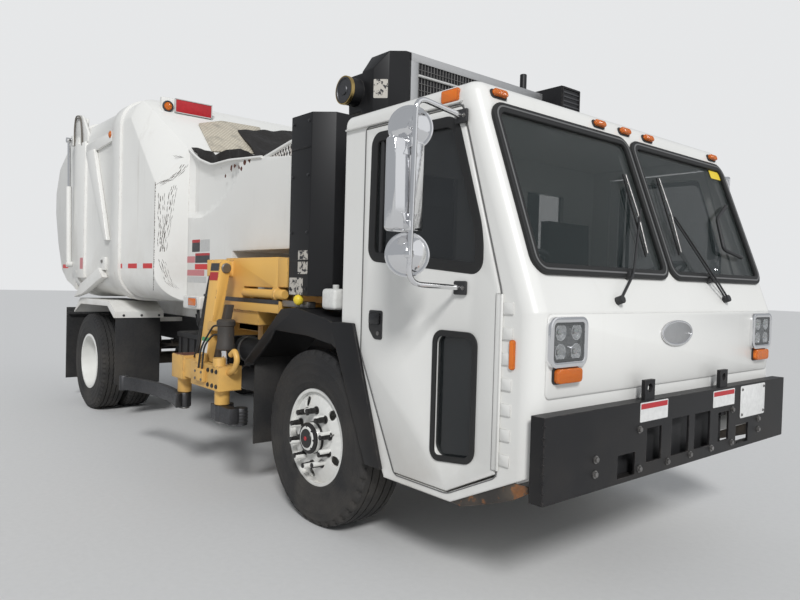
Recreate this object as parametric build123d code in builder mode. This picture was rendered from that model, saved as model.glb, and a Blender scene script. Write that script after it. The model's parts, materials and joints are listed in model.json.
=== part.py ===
from build123d import *
import os
from math import cos, hypot, radians, sin

# Garbage truck with a side arm. Millimetres, +X forward, +Y to the vehicle's left, +Z up,
# ground at Z = 0, origin under the middle of the overall length and width.

# Overall layout
wheelbase = 4520
front_overhang = 1770
rear_overhang = 1510
half_width = 1220
run_gap = 8
skin_gap = 0.3
front_x = (front_overhang + wheelbase + rear_overhang) / 2
steer_x = front_x - front_overhang
drive_x = steer_x - wheelbase
rear_x = drive_x - rear_overhang

# Tyres and rims
steer_tyre_r = 533
steer_tyre_w = 308
drive_tyre_r = 525
drive_tyre_w = 276
bead_r = 287
rim_r = bead_r - skin_gap
rim_wall = 12
rim_flange_r = 302
rim_half_width = 116
flange_thick = 9
wheel_y = half_width - 180
dual_outer_y = half_width - 154
dual_inner_y = dual_outer_y - 314
disc_thick = 14
disc_hole_r = 70
dish_r = 205
stud_count = 10
stud_circle_r = 167.5
stud_r = 15
stud_stand = 72
front_disc_y = 126
hand_hole_count = 5
hand_hole_circle_r = 226
hand_hole_r = 30

# Front axle, knuckles and hubs
kingpin_y = wheel_y - 240
kingpin_r = 20
pin_clear = 0.6
spindle_r = 35
knuckle_half_height = 115
boss_half_height = 65
boss_r = 48
fork_thick = 32
beam_height = 100
beam_width = 90
drum_r = 200
hub_r = 92

# Chassis frame
rail_half_gap = 430
rail_bottom = 790
rail_top = 1050
rail_flange = 80
rail_wall = 10
rail_rear_x = rear_x + 480
rail_front_x = front_x - 210
cross_width = 80
cross_height = 150
guard_x = rail_rear_x + 5
guard_z = (520, 640)
guard_half = half_width - 100

# Leaf springs, as (middle X, half length, middle Y, height at the middle, height at the eyes)
spring_width = 74
spring_thick = 52
spring_eye_r = 30
spring_eye_z = rail_bottom - 48
front_spring = (steer_x, 600, 386, steer_tyre_r + 99, spring_eye_z)
rear_spring = (drive_x, 650, 476, drive_tyre_r + 165, spring_eye_z)

# Engine
engine_x = (steer_x - 950, steer_x + 210)
engine_half = 335
engine_z = (640, rail_top - 10)

# Bumper, with its openings as (middle Y, height above the bottom edge, width, height)
bumper_half = half_width
bumper_low = 587
bumper_high = bumper_low + 365
bumper_thick = 12
bumper_flange = 84
bumper_slots = (
    (-597, 78, 150, 108), (-354, 148, 140, 166), (-96, 157, 180, 190), (142, 157, 176, 188),
    (392, 148, 131, 162), (632, 80, 165, 110),
)
tow_tab_y = 394
tow_tab_top = bumper_high + 58
tow_tab_hole_r = 22
tow_tab_thick = 20
plate_bolt_y = (660, 860)
plate_bolt_z = bumper_low + 263
plate_bolt_r = 4

# Cab shell
cab_half = half_width - 20
cab_wall = 45
cab_front_x = front_x - 90
cab_rear_x = cab_front_x - 1380
cab_floor = 462
cab_floor_wall = 40
cab_platform = 2 * steer_tyre_r + 84
cab_step_x = steer_x + 710
cab_keel_x = cab_front_x - 471
cab_nose_z = cab_floor + 225
cab_belt_z = cab_platform + 300
cab_roof_front = (cab_front_x - 399, cab_belt_z + 985)
cab_roof_rear_z = cab_roof_front[1] - 10
screen_foot_z = cab_belt_z - 72
cab_corner_r = 80
cab_roof_r = 70
tunnel_half = 500
cab_mounts = (cab_rear_x + 80, cab_front_x - 220)
pane_thick = 8
screen_slope = hypot(cab_front_x - cab_roof_front[0], cab_roof_front[1] - screen_foot_z)
screen_low = 195
screen_high = screen_slope - 138
screen_in = 30
screen_out = cab_half - 76
screen_corner_r = 70
rear_pane_y = cab_half - 640
rear_pane_size = (420, 520)
rear_pane_z = cab_belt_z + 450

# Doors, as outlines of (X, Z) from the rear top corner, forward along the bottom
door_hinge_x = cab_front_x - 182
door_rear_x = cab_rear_x + 185
door_low = cab_floor + 38
door_top_z = cab_roof_front[1] - 117
door_points = (
    (door_rear_x, door_top_z), (door_rear_x, cab_platform - 50),
    (door_rear_x + 311, door_low), (door_hinge_x - 313, door_low),
    (door_hinge_x - run_gap, cab_nose_z - 39), (door_hinge_x - run_gap, cab_belt_z + 8),
    (door_hinge_x - 278, door_top_z),
)
door_window = (
    (door_rear_x + 77, door_top_z - 56), (door_rear_x + 73, cab_belt_z + 175),
    (door_hinge_x - 145, cab_belt_z + 104), (door_hinge_x - 147, cab_belt_z + 268),
    (door_hinge_x - 326, door_top_z - 60),
)
door_window_r = 45
slot_window = (
    (door_hinge_x - 413, cab_platform + 100), (door_hinge_x - 413, cab_nose_z - 32),
    (door_hinge_x - 153, cab_nose_z + 3), (door_hinge_x - 153, cab_platform + 100),
)
slot_window_r = 60
door_thick = 40
door_proud = 6
door_hinge_r = 6
door_hinge_low = cab_nose_z - 13

# Mirrors
mirror_tube_r = 13
mirror_head_width = 180
mirror_head_depth = 55
mirror_y = cab_half + 300
mirror_x = door_hinge_x - 288
mirror_head_low = cab_belt_z + 266
mirror_head_high = cab_belt_z + 668
mirror_tube_z = (cab_belt_z + 30, cab_belt_z + 850)
round_mirror_r = 95
round_mirror_depth = 62
round_mirror_z = (cab_belt_z + 160, cab_belt_z + 725)
round_mirror_turn = radians(38)

# Lamps
lamp_depth = 20
headlamp_y = cab_half - 214
headlamp_size = (270, 228)
headlamp_z = cab_platform + 100
indicator_z = cab_platform - 51
indicator_size = (172, 66)
tail_lamp_y = (guard_half - 220, guard_half - 360)
tail_lamp_r = 50

# Front fender's top line, as (X from the axle, Z from the cab's platform)
fender_half = half_width + 2
fender_inner = wheel_y - 240
fender_thick = 26
fender_line = ((-827, -237), (-634, -88), (-343, 148), (-163, 166), (158, 119), (220, 99))
fender_arch = ((220, -30), (-29, 0), (-413, 8), (-474, -62), (-710, -245))

# Rear fender's line and underside, as (X from the axle, Z from its top)
rear_fender_top = 2 * drive_tyre_r + 170
rear_fender_thick = 12
rear_fender_inner = dual_inner_y - 27
rear_fender_line = ((-504, -160), (-272, 0), (751, 0), (945, -100), (945, -165))
rear_fender_under = ((933, -165), (933, -107), (747, -12), (-268, -12), (-504, -175))
rear_fender_lip = ((905, -165), (696, -54), (-245, -68), (-504, -175))
# Its arms, as (X from the axle, Z of the two top corners from its top)
fender_arms = ((-450, -149, -108), (690, -6, -6))
flap_thick = 12
flap_back = 376

# Load body
body_half = half_width
body_floor = rear_fender_top + 42
body_roof = body_floor + 1948
body_side_low = body_floor + 283
body_wall = 30
hood_wall = 36
hopper_length = 1820
hopper_front_x = steer_x - 530
body_front_x = hopper_front_x - hopper_length
body_corner_x = body_front_x - 210
body_corner_z = body_roof - 894
body_shoulder = (body_front_x - 830, body_roof - 257)
body_rear_x = rear_x + 950
body_roof_r = 250
body_hood_x = body_front_x - 880
body_hood_z = body_roof - 608
rib_x = (body_front_x - 1330, body_front_x - 1090)
rear_post_x = (body_rear_x + 60, body_rear_x + 210)
rear_pillar_x = body_rear_x + 480
rib_out = 26
sill_y = 395
sill_half = 30
sill_low = rail_top + 8.3
sill_pads = (body_rear_x + 650, body_front_x - 680, body_front_x + 520)
tip_lug_thick = 34
tip_x = body_rear_x - 70
tip_z = rail_top + 70
tip_pin_r = 25
tip_lug_r = 60

# Hopper, with its lip as (X from the body's front, Z from the hood's edge)
hopper_half = body_half - 220
hopper_wall = 28
hopper_step_x = hopper_front_x - 950
hopper_low = body_floor + 28
hopper_shelf = hopper_low + 410
paddle_x = hopper_step_x - 130
paddle_height = 430
hopper_lip = (
    (0, 0), (230, -113), (470, -184), (790, -182), (1040, -188), (1350, -222),
    (hopper_length, -272),
)

# Exhaust stack and cooling tower behind the cab
stack_x = cab_rear_x - 480
stack_half = 222
stack_cut = 107
stack_y = stack_half - cab_half
stack_low = cab_platform + 240
stack_top = stack_low + 1120
tower_x = (cab_rear_x - 530, cab_rear_x - 250)
tower_y = (-480, 860)
tower_z = (rail_top + 280, 3000)
tower_side_depth = 295
tower_side_x = (tower_x[1] - 190, tower_x[1])
tower_side_z = (stack_top + 15, tower_z[1])
tower_side_cut = 73
air_drum_r = 90
air_drum_reach = 95

# Tailgate, as (X from the body's rear, Z from the body's floor)
gate_half = body_half - 30
gate_wall = 30
gate_pin_r = 18
gate_hinge_x = body_rear_x
gate_hinge_z = body_roof + 65
gate_top = body_roof - 20
gate_low = body_floor + 38
gate_line = (
    (-143, 83), (-395, 143), (-620, 264), (-819, 600), (-950, 994), (-946, 1237), (-782, 1534),
    (-439, 1705),
)
gate_inner_line = (
    (-135, 123), (-375, 178), (-595, 298), (-788, 618), (-918, 1000), (-914, 1228), (-758, 1510),
    (-425, 1676),
)
gate_lug_y = gate_half - 110
gate_lug_thick = 35

# Cylinders, as the barrel's pivot and the rod's eye in (X, Z) at rest
hoist_pivot = (drive_x + 1050, rail_bottom - 20)
hoist_eye = (tip_x + 670, tip_z + 65)
hoist_half = 60
hoist_barrel_r = 72
hoist_rod_r = 45
hoist_barrel_length = 780
gate_cylinder_pivot = (body_rear_x + 25, body_floor + 338)
gate_cylinder_eye = (body_rear_x - 60, body_roof - 170)
gate_cylinder_y = body_half + 55
gate_barrel_r = 30
gate_rod_r = 16
gate_barrel_length = 900
eye_half = 28
pivot_pin_r = 20
lug_thick = 24
lug_gap = 3

# Side arm
arm_x = hopper_front_x - 587
arm_rail_x = (arm_x - 223, arm_x + 222)
arm_rail_width = 80
arm_rail_top = rail_top + 110
boom_x = (arm_x - 143, arm_x + 142)
boom_z = (arm_rail_top + 18, arm_rail_top + 140)
guide_y = (-960, -420)
arm_side_y = (60 - half_width, 180 - half_width)
cross_tube_x = (arm_x - 143, arm_x + 627)
cross_tube_z = (boom_z[1] + 130, boom_z[1] + 335)
side_rail_x = (arm_x - 313, arm_x + 687)
side_rail_z = (boom_z[1] - 38, boom_z[1] + 46)
arm_pivot_y = arm_side_y[0] - 130
arm_pivot_z = cross_tube_z[0] + 125
arm_pivot_r = 22
post_x = (arm_x - 13, arm_x + 127)
post_depth = 90
post_low_z = arm_pivot_z - 705
post_low_y = arm_pivot_y - 110
head_x = (arm_x - 303, arm_x + 467)
head_y = (post_low_y - 80, post_low_y + 60)
head_z = (post_low_z - 106, post_low_z + 55)
finger_y = post_low_y - 20
finger_z = (head_z[0] - 207, head_z[0] - 103)
finger_pin_r = 24
finger_thick = 45
finger_reach = 985
rear_finger_x = head_x[0] + 65
front_finger_x = head_x[1] - 90
tilt_x = head_x[1] - 95
tilt_y = post_low_y
tilt_z = (head_z[1] + 105, head_z[1] + 300)

# Cross members, each by what it stands below
cross_members = (
    rail_rear_x + 120, hoist_pivot[0] + 100, body_front_x - 80, arm_rail_x[0] - 230,
    arm_rail_x[1] - 145, steer_x + 310, rail_front_x - 130,
)


def block(x, y, z, mode=Mode.ADD):
    """A box between two limits on each axis."""
    with Locations(((x[0] + x[1]) / 2, (y[0] + y[1]) / 2, (z[0] + z[1]) / 2)):
        Box(x[1] - x[0], y[1] - y[0], z[1] - z[0], mode=mode)


def side_prism(outline, y, corner_r=0, mode=Mode.ADD):
    """A prism between two Y limits, from an outline of (X, Z) points."""
    with BuildSketch(Plane.XZ.offset(-y[1])) as profile:
        with BuildLine():
            Polyline(*outline, close=True)
        make_face()
        if corner_r:
            fillet(profile.vertices(), corner_r)
    extrude(profile.sketch, amount=y[1] - y[0], mode=mode)


def plan_prism(outline, z, corner_r=0, mode=Mode.ADD):
    """A prism between two Z limits, from an outline of (X, Y) points."""
    with BuildSketch(Plane.XY.offset(z[0])) as profile:
        with BuildLine():
            Polyline(*outline, close=True)
        make_face()
        if corner_r:
            fillet(profile.vertices(), corner_r)
    extrude(profile.sketch, amount=z[1] - z[0], mode=mode)


def bar(start, end, radius, mode=Mode.ADD):
    """A round bar from one point to another."""
    along = Vector(*end) - Vector(*start)
    with BuildSketch(Plane(origin=start, z_dir=along)) as profile:
        Circle(radius)
    extrude(profile.sketch, amount=along.length, mode=mode)


def turned(centre, profile_points, mode=Mode.ADD):
    """A ring about a Y axis through centre, from (radius, Y offset) points."""
    with BuildSketch(Plane(origin=centre)) as profile:
        with BuildLine():
            Polyline(*profile_points, close=True)
        make_face()
    revolve(profile.sketch, axis=Axis(centre, (0, 1, 0)), mode=mode)


# Tyres
def tyre_ring(centre, radius, width):
    """One tyre: flat tread, rounded shoulders and walls, open at the bead."""
    half = width / 2
    bead_half = rim_half_width - skin_gap
    flange_seat_r = rim_flange_r + 3
    tread_half = half * 0.78
    wall_r = (bead_r + radius) / 2
    shoulder_r = radius - 32
    shoulder_half = half * 0.93
    with BuildSketch(Plane(origin=centre)) as profile:
        with BuildLine():
            Line((bead_r, -bead_half), (bead_r, bead_half))
            Line((bead_r, bead_half), (flange_seat_r, bead_half))
            ThreePointArc((flange_seat_r, bead_half), (wall_r, half), (shoulder_r, shoulder_half))
            Line((shoulder_r, shoulder_half), (radius, tread_half))
            Line((radius, tread_half), (radius, -tread_half))
            Line((radius, -tread_half), (shoulder_r, -shoulder_half))
            ThreePointArc((shoulder_r, -shoulder_half), (wall_r, -half),
                          (flange_seat_r, -bead_half))
            Line((flange_seat_r, -bead_half), (bead_r, -bead_half))
        make_face()
    revolve(profile.sketch, axis=Axis(centre, (0, 1, 0)))


def rim_ring(centre, disc_y, out):
    """One rim with its disc, dished where disc_y reaches past the rim, on the side named by out."""
    turned(centre, (
        (rim_r - rim_wall, -rim_half_width), (rim_r, -rim_half_width), (rim_r, rim_half_width),
        (rim_r - rim_wall, rim_half_width),
    ))
    for side in (-1, 1):
        flange = side * rim_half_width
        turned(centre, (
            (rim_r - rim_wall, flange), (rim_flange_r, flange),
            (rim_flange_r, flange + side * flange_thick),
            (rim_r - rim_wall, flange + side * flange_thick),
        ))
    face = out * disc_y
    edge = out * min(disc_y, rim_half_width - 20)
    back = out * disc_thick
    turned(centre, (
        (disc_hole_r, face), (dish_r, face), (rim_r - rim_wall, edge), (rim_r - rim_wall, edge - back),
        (dish_r, face - back), (disc_hole_r, face - back),
    ))
    with Locations(Plane(origin=(centre[0], centre[1] + face, centre[2]), z_dir=(0, out, 0))):
        with PolarLocations(hand_hole_circle_r, hand_hole_count, start_angle=62):
            Cylinder(hand_hole_r, 10 * disc_thick, mode=Mode.SUBTRACT)


def hub_and_studs(centre, face, bore_r, inner_y, outer_y, out):
    """A hub on the spindle, with the wheel studs and nuts standing out of the disc."""
    turned(centre, (
        (bore_r, out * inner_y), (hub_r, out * inner_y), (hub_r, out * (outer_y - 30)),
        (hub_r - 22, out * outer_y), (bore_r, out * outer_y),
    ))
    with Locations(Plane(origin=(centre[0], centre[1] + out * (face - disc_thick), centre[2]),
                         z_dir=(0, out, 0))):
        with PolarLocations(stud_circle_r, stud_count):
            Cylinder(stud_r, stud_stand + disc_thick,
                     align=(Align.CENTER, Align.CENTER, Align.MIN))


steer_hub_reach = front_disc_y + 62
front_tyres = {}
front_rims = {}
knuckles = {}
for side_name, side in (("right", -1), ("left", 1)):
    centre = (steer_x, side * wheel_y, steer_tyre_r)
    with BuildPart() as tyre:
        tyre_ring(centre, steer_tyre_r, steer_tyre_w)
    front_tyres[side_name] = tyre

    # The rim carries the hub and the brake drum, which run on the spindle.
    with BuildPart() as rim:
        rim_ring(centre, front_disc_y, side)
        hub_and_studs(centre, front_disc_y, spindle_r + pin_clear, -70, steer_hub_reach, side)
        turned(centre, (
            (hub_r - 20, side * 0), (drum_r, side * 0), (drum_r, side * -110),
            (drum_r - 14, side * -110), (drum_r - 14, side * -14), (hub_r - 20, side * -14),
        ))
        turned(centre, (
            (hub_r - 10, side * front_disc_y), (hub_r + 60, side * front_disc_y),
            (hub_r + 60, side * (front_disc_y - 28)), (hub_r - 10, side * (front_disc_y - 28)),
        ))
    front_rims[side_name] = rim

    # The knuckle is a fork on the kingpin with the spindle and the brake's back plate.
    kingpin = side * kingpin_y
    web = (side * (kingpin_y + 62), side * (kingpin_y + 92))
    with BuildPart() as knuckle:
        bar((steer_x, kingpin, steer_tyre_r - knuckle_half_height),
            (steer_x, kingpin, steer_tyre_r + knuckle_half_height), kingpin_r)
        for end in (-1, 1):
            low = steer_tyre_r + end * knuckle_half_height
            high = low - end * fork_thick
            block((steer_x - boss_r, steer_x + boss_r),
                  sorted((side * (kingpin_y - boss_r), web[1])), sorted((low, high)))
        block((steer_x - boss_r, steer_x + boss_r), sorted(web),
              (steer_tyre_r - knuckle_half_height, steer_tyre_r + knuckle_half_height))
        bar((steer_x, web[0], steer_tyre_r),
            (steer_x, side * (wheel_y + steer_hub_reach - 40), steer_tyre_r), spindle_r)
        block((steer_x - 170, steer_x - boss_r + 5),
              sorted((side * (kingpin_y - 30), side * (kingpin_y + 10))),
              (steer_tyre_r - knuckle_half_height, steer_tyre_r - knuckle_half_height + 24))
    knuckles[side_name] = knuckle

drive_tyres = {}
drive_rims = {}
drive_bore_r = 46
for side_name, side in (("right", -1), ("left", 1)):
    outer = (drive_x, side * dual_outer_y, drive_tyre_r)
    inner = (drive_x, side * dual_inner_y, drive_tyre_r)
    with BuildPart() as tyres:
        tyre_ring(outer, drive_tyre_r, drive_tyre_w)
        tyre_ring(inner, drive_tyre_r, drive_tyre_w)
    drive_tyres[side_name] = tyres

    # The two rims are dished and bolted back to back on the drum.
    disc_y = (dual_outer_y - dual_inner_y) / 2
    with BuildPart() as rims:
        rim_ring(outer, disc_y - disc_thick, -side)
        rim_ring(inner, disc_y, side)
        hub_and_studs(inner, disc_y + 20, drive_bore_r, disc_y - 90, disc_y + 150, side)
        turned(inner, (
            (hub_r - 20, side * disc_y), (drum_r, side * disc_y), (drum_r, side * (disc_y - 190)),
            (drum_r - 16, side * (disc_y - 190)), (drum_r - 16, side * (disc_y - 16)),
            (hub_r - 20, side * (disc_y - 16)),
        ))
    drive_rims[side_name] = rims

# Axles: the front beam with a kingpin boss at each end, and the rear tube with its final drive
axle_tube_r = 70
with BuildPart() as axles:
    beam_low = steer_tyre_r - beam_height / 2
    block((steer_x - beam_width / 2, steer_x + beam_width / 2),
          (-kingpin_y + boss_r - 10, kingpin_y - boss_r + 10),
          (beam_low, beam_low + beam_height))
    for side in (-1, 1):
        bar((steer_x, side * kingpin_y, steer_tyre_r - boss_half_height),
            (steer_x, side * kingpin_y, steer_tyre_r + boss_half_height), boss_r - 6)
        bar((steer_x, side * kingpin_y, steer_tyre_r - boss_half_height - 1),
            (steer_x, side * kingpin_y, steer_tyre_r + boss_half_height + 1),
            kingpin_r + pin_clear, mode=Mode.SUBTRACT)
        block((steer_x - 60, steer_x + 60),
              sorted((side * (front_spring[2] - 40), side * (front_spring[2] + 40))),
              (beam_low + 10, front_spring[3] - spring_thick / 2))

    bar((drive_x, -560, drive_tyre_r), (drive_x, 560, drive_tyre_r), axle_tube_r)
    spindle_end = dual_outer_y + 30
    bar((drive_x, -spindle_end, drive_tyre_r), (drive_x, spindle_end, drive_tyre_r),
        drive_bore_r - pin_clear)
    bar((drive_x, -130, drive_tyre_r), (drive_x, 130, drive_tyre_r), 205)
    bar((drive_x, 0, drive_tyre_r), (drive_x + 420, 0, drive_tyre_r + 40), 95)
    for side in (-1, 1):
        block((drive_x - 65, drive_x + 65),
              sorted((side * (rear_spring[2] - 40), side * (rear_spring[2] + 40))),
              (drive_tyre_r, rear_spring[3] - spring_thick / 2))

# Leaf springs, each an arc of leaves with an eye at both ends
with BuildPart() as leaf_springs:
    for middle_x, half_length, middle_y, low_z, eye_z in (front_spring, rear_spring):
        for side in (-1, 1):
            y = side * middle_y
            with BuildSketch(Plane.XZ.offset(-(y + spring_width / 2))) as leaf:
                with BuildLine():
                    ThreePointArc((middle_x - half_length, eye_z),
                                  (middle_x, low_z - spring_thick / 2),
                                  (middle_x + half_length, eye_z))
                    ThreePointArc((middle_x - half_length, eye_z + 14),
                                  (middle_x, low_z + spring_thick / 2),
                                  (middle_x + half_length, eye_z + 14))
                    Line((middle_x - half_length, eye_z), (middle_x - half_length, eye_z + 14))
                    Line((middle_x + half_length, eye_z), (middle_x + half_length, eye_z + 14))
                make_face()
            extrude(leaf.sketch, amount=spring_width)
            for end in (-1, 1):
                eye_x = middle_x + end * half_length
                bar((eye_x, y - spring_width / 2, eye_z + 7),
                    (eye_x, y + spring_width / 2, eye_z + 7), spring_eye_r)

# Frame rails: two channels with spring hangers, cab mounts and the lugs of the tipping hinge
with BuildPart() as frame_rails:
    for side in (-1, 1):
        y = sorted((side * (rail_half_gap - rail_flange), side * rail_half_gap))
        block((rail_rear_x, rail_front_x), y, (rail_bottom, rail_top))
        y = sorted((side * (rail_half_gap - rail_flange - 1),
                    side * (rail_half_gap - rail_wall)))
        block((rail_rear_x - 1, rail_front_x + 1), y,
              (rail_bottom + rail_wall, rail_top - rail_wall), mode=Mode.SUBTRACT)
        for middle_x, half_length, middle_y, low_z, eye_z in (front_spring, rear_spring):
            for end in (-1, 1):
                eye_x = middle_x + end * half_length
                inner = min(middle_y - spring_width / 2, rail_half_gap - 40)
                outer = max(middle_y + spring_width / 2, rail_half_gap)
                block((eye_x - 45, eye_x + 45), sorted((side * inner, side * outer)),
                      (eye_z + 7 + spring_eye_r, rail_bottom + rail_wall))
        lug_in = rail_half_gap - 1
        lug_out = rail_half_gap + tip_lug_thick
        side_prism(((tip_x - 110, rail_bottom + 40), (tip_x + 110, rail_bottom + 40),
                    (tip_x + 55, tip_z + 30), (tip_x + 30, tip_z + 55),
                    (tip_x - 30, tip_z + 55), (tip_x - 55, tip_z + 30)),
                   sorted((side * lug_in, side * lug_out)))
        bar((tip_x, side * (lug_in - 1), tip_z), (tip_x, side * (lug_out + 1), tip_z),
            tip_pin_r + pin_clear, mode=Mode.SUBTRACT)
        for x in sill_pads:
            block((x - 60, x + 60), sorted((side * (sill_y - sill_half), side * (sill_y + sill_half))),
                  (rail_top - 2, sill_low - skin_gap))
        for x in cab_mounts:
            block((x - 55, x + 55), sorted((side * (rail_half_gap - rail_flange), side * rail_half_gap)),
                  (rail_top - 2, cab_platform - skin_gap))

# Cross members between the rails, with the hoist's lugs and the rear guard bar
member_half = rail_half_gap - rail_wall - skin_gap
member_z = (rail_bottom + rail_top) / 2
hoist_lug = (hoist_half + lug_gap, hoist_half + lug_gap + lug_thick)
with BuildPart() as frame_cross_members:
    for x in cross_members:
        block((x - cross_width / 2, x + cross_width / 2), (-member_half, member_half),
              (member_z - cross_height / 2, member_z + cross_height / 2))
    pivot_x, pivot_z = hoist_pivot
    for side in (-1, 1):
        side_prism(((pivot_x + 70, pivot_z + 100), (pivot_x + 40, pivot_z - 70),
                    (pivot_x, pivot_z - 55), (pivot_x - 60, pivot_z - 20), (pivot_x - 60, pivot_z + 30),
                    (pivot_x, pivot_z + 80), (pivot_x + 70, pivot_z + 220)),
                   sorted((side * hoist_lug[0], side * hoist_lug[1])))
        block((guard_x, guard_x + 60), sorted((side * 300, side * 380)), (guard_z[0], rail_bottom - 5))
        block((guard_x, cross_members[0]), sorted((side * 300, side * 340)),
              (rail_bottom - 90, member_z - 20))
    bar((pivot_x, -hoist_lug[1], pivot_z), (pivot_x, hoist_lug[1], pivot_z), pivot_pin_r)
    block((guard_x, guard_x + 60), (-guard_half, guard_half), guard_z)

# Engine as one plain block low between the rails, on two cross mounts
with BuildPart() as engine_block:
    block(engine_x, (-engine_half, engine_half), engine_z)
    for x in (engine_x[0] + 120, engine_x[1] - 140):
        block((x - 40, x + 40), (-member_half, member_half), (member_z - 70, member_z + 10))

# Fuel tank on the left, battery box and air tanks on the right
tank_y = (rail_half_gap + skin_gap, half_width - 170)
tank_x = (drive_x + 1570, drive_x + 3020)
box_x = (tank_x[0] + 200, tank_x[0] + 950)
air_tank_x = (box_x[1] + 80, box_x[1] + 800)
with BuildPart() as side_tanks:
    with BuildSketch(Plane.YZ.offset(tank_x[0])) as tank:
        with Locations((sum(tank_y) / 2, rail_bottom - 30)):
            RectangleRounded(tank_y[1] - tank_y[0], 520, 110)
    extrude(tank.sketch, amount=tank_x[1] - tank_x[0])
    block(box_x, (320 - half_width, -tank_y[0]), (rail_bottom - 230, rail_bottom + 190))
    for z in (rail_bottom - 150, rail_bottom + 90):
        bar((air_tank_x[0], -640, z), (air_tank_x[1], -640, z), 110)
    for x in (air_tank_x[0] + 155, air_tank_x[1] - 155):
        block((x - 35, x + 35), (-690, -tank_y[0]), (rail_bottom - 210, rail_bottom + 170))

# Bumper: one folded plate with tow tabs, openings and the plate's bolt holes
with BuildPart() as front_bumper:
    block((front_x - bumper_thick, front_x), (-bumper_half, bumper_half),
          (bumper_low, bumper_high))
    block((front_x - bumper_flange, front_x), (-bumper_half, bumper_half),
          (bumper_high - bumper_thick, bumper_high))
    block((front_x - bumper_flange, front_x), (-bumper_half, bumper_half),
          (bumper_low, bumper_low + bumper_thick))
    for side in (-1, 1):
        block((front_x - bumper_flange, front_x),
              sorted((side * (bumper_half - bumper_thick), side * bumper_half)),
              (bumper_low, bumper_high))
        block((rail_front_x + skin_gap, front_x - 1),
              sorted((side * (rail_half_gap - 30), side * (rail_half_gap + 20))),
              (rail_bottom, rail_bottom + 130))
    for y, above, width, height in bumper_slots:
        with Locations(Plane(origin=(front_x, y, bumper_low + above), x_dir=(0, 1, 0), z_dir=(1, 0, 0))):
            Box(width, height, 3 * bumper_thick, mode=Mode.SUBTRACT)
    for side in (-1, 1):
        tab_x = (front_x - bumper_thick - 30, front_x - bumper_thick - 30 + tow_tab_thick)
        block(tab_x, sorted((side * (tow_tab_y - 45), side * (tow_tab_y + 45))),
              (bumper_high - 3, tow_tab_top + 40))
        bar((tab_x[0] - 1, side * tow_tab_y, tow_tab_top),
            (tab_x[1] + 1, side * tow_tab_y, tow_tab_top), tow_tab_hole_r, mode=Mode.SUBTRACT)
    for y in plate_bolt_y:
        bar((front_x - bumper_thick - 1, y, plate_bolt_z), (front_x + 1, y, plate_bolt_z),
            plate_bolt_r, mode=Mode.SUBTRACT)

# Cab shell
upper_outline = (
    (cab_rear_x, cab_platform), (cab_front_x, cab_platform), (cab_front_x, screen_foot_z),
    cab_roof_front, (cab_rear_x, cab_roof_rear_z),
)
lower_outline = (
    (cab_step_x, cab_floor), (cab_keel_x, cab_floor), (cab_front_x, cab_nose_z),
    (cab_front_x, cab_platform + 20), (cab_step_x, cab_platform + 20),
)
screen_up = ((cab_roof_front[0] - cab_front_x) / screen_slope,
             (cab_roof_front[1] - screen_foot_z) / screen_slope)
screen_plane = Plane(origin=(cab_front_x, 0, screen_foot_z), x_dir=(0, 1, 0),
                     z_dir=(screen_up[1], 0, -screen_up[0]))


def pane_sketch(side, grow):
    """One windscreen opening on the sloping front, grown or shrunk all round."""
    width = screen_out - screen_in
    height = screen_high - screen_low
    middle = (side * (screen_in + width / 2), screen_low + height / 2)
    with BuildSketch(screen_plane) as pane:
        with Locations(middle):
            RectangleRounded(width + 2 * grow, height + 2 * grow, screen_corner_r)
    return pane.sketch


with BuildPart() as cab_shell:
    side_prism(upper_outline, (-cab_half, cab_half))
    for side in (-1, 1):
        side_prism(lower_outline, sorted((side * tunnel_half, side * cab_half)))
    block((cab_front_x - cab_wall, cab_front_x), (-tunnel_half - 5, tunnel_half + 5),
          (bumper_high - 15, cab_platform + 5))
    front_edges = cab_shell.edges().filter_by(
        lambda e: abs(abs(e.center().Y) - cab_half) < 1 and e.center().X > cab_roof_front[0])
    upright = front_edges.filter_by(lambda e: abs(e.tangent_at(0.5).Z) > 0.5)
    fillet(upright, cab_corner_r)
    roof_edges = cab_shell.edges().filter_by(
        lambda e: abs(abs(e.center().Y) - cab_half) < 1 and e.center().Z > cab_roof_rear_z - 5
        and e.length > 500)
    fillet(roof_edges, cab_roof_r)
    for side in (-1, 1):
        side_prism(((cab_rear_x, cab_platform + 10), (cab_rear_x, cab_platform + 112),
                    (cab_step_x + 5, cab_platform + 112),
                    (cab_step_x + 5, cab_floor)),
                   sorted((side * (cab_half - cab_wall), side * cab_half)))
    inner_half = cab_half - cab_wall
    side_prism(((cab_rear_x + cab_wall, cab_platform + cab_wall),
                (cab_front_x - cab_wall, cab_platform + cab_wall),
                (cab_front_x - cab_wall, screen_foot_z - 8),
                (cab_roof_front[0] - cab_wall, cab_roof_front[1] - cab_wall - 4),
                (cab_rear_x + cab_wall, cab_roof_rear_z - cab_wall)),
               (-inner_half, inner_half), mode=Mode.SUBTRACT)
    for side in (-1, 1):
        side_prism(((cab_step_x + cab_wall, cab_floor + cab_floor_wall),
                    (cab_keel_x - 10, cab_floor + cab_floor_wall),
                    (cab_front_x - cab_wall, cab_nose_z + cab_floor_wall - 5),
                    (cab_front_x - cab_wall, cab_platform + cab_wall + 1),
                    (cab_step_x + cab_wall, cab_platform + cab_wall + 1)),
                   sorted((side * (tunnel_half + cab_wall), side * inner_half)),
                   mode=Mode.SUBTRACT)
    for side in (-1, 1):
        side_prism(door_points, sorted((side * (inner_half - 5), side * (cab_half + 5))),
                   mode=Mode.SUBTRACT)
        extrude(pane_sketch(side, 0), amount=90, both=True, mode=Mode.SUBTRACT)
        with Locations((cab_rear_x, side * rear_pane_y, rear_pane_z)):
            Box(3 * cab_wall, rear_pane_size[0], rear_pane_size[1], mode=Mode.SUBTRACT)

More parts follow.
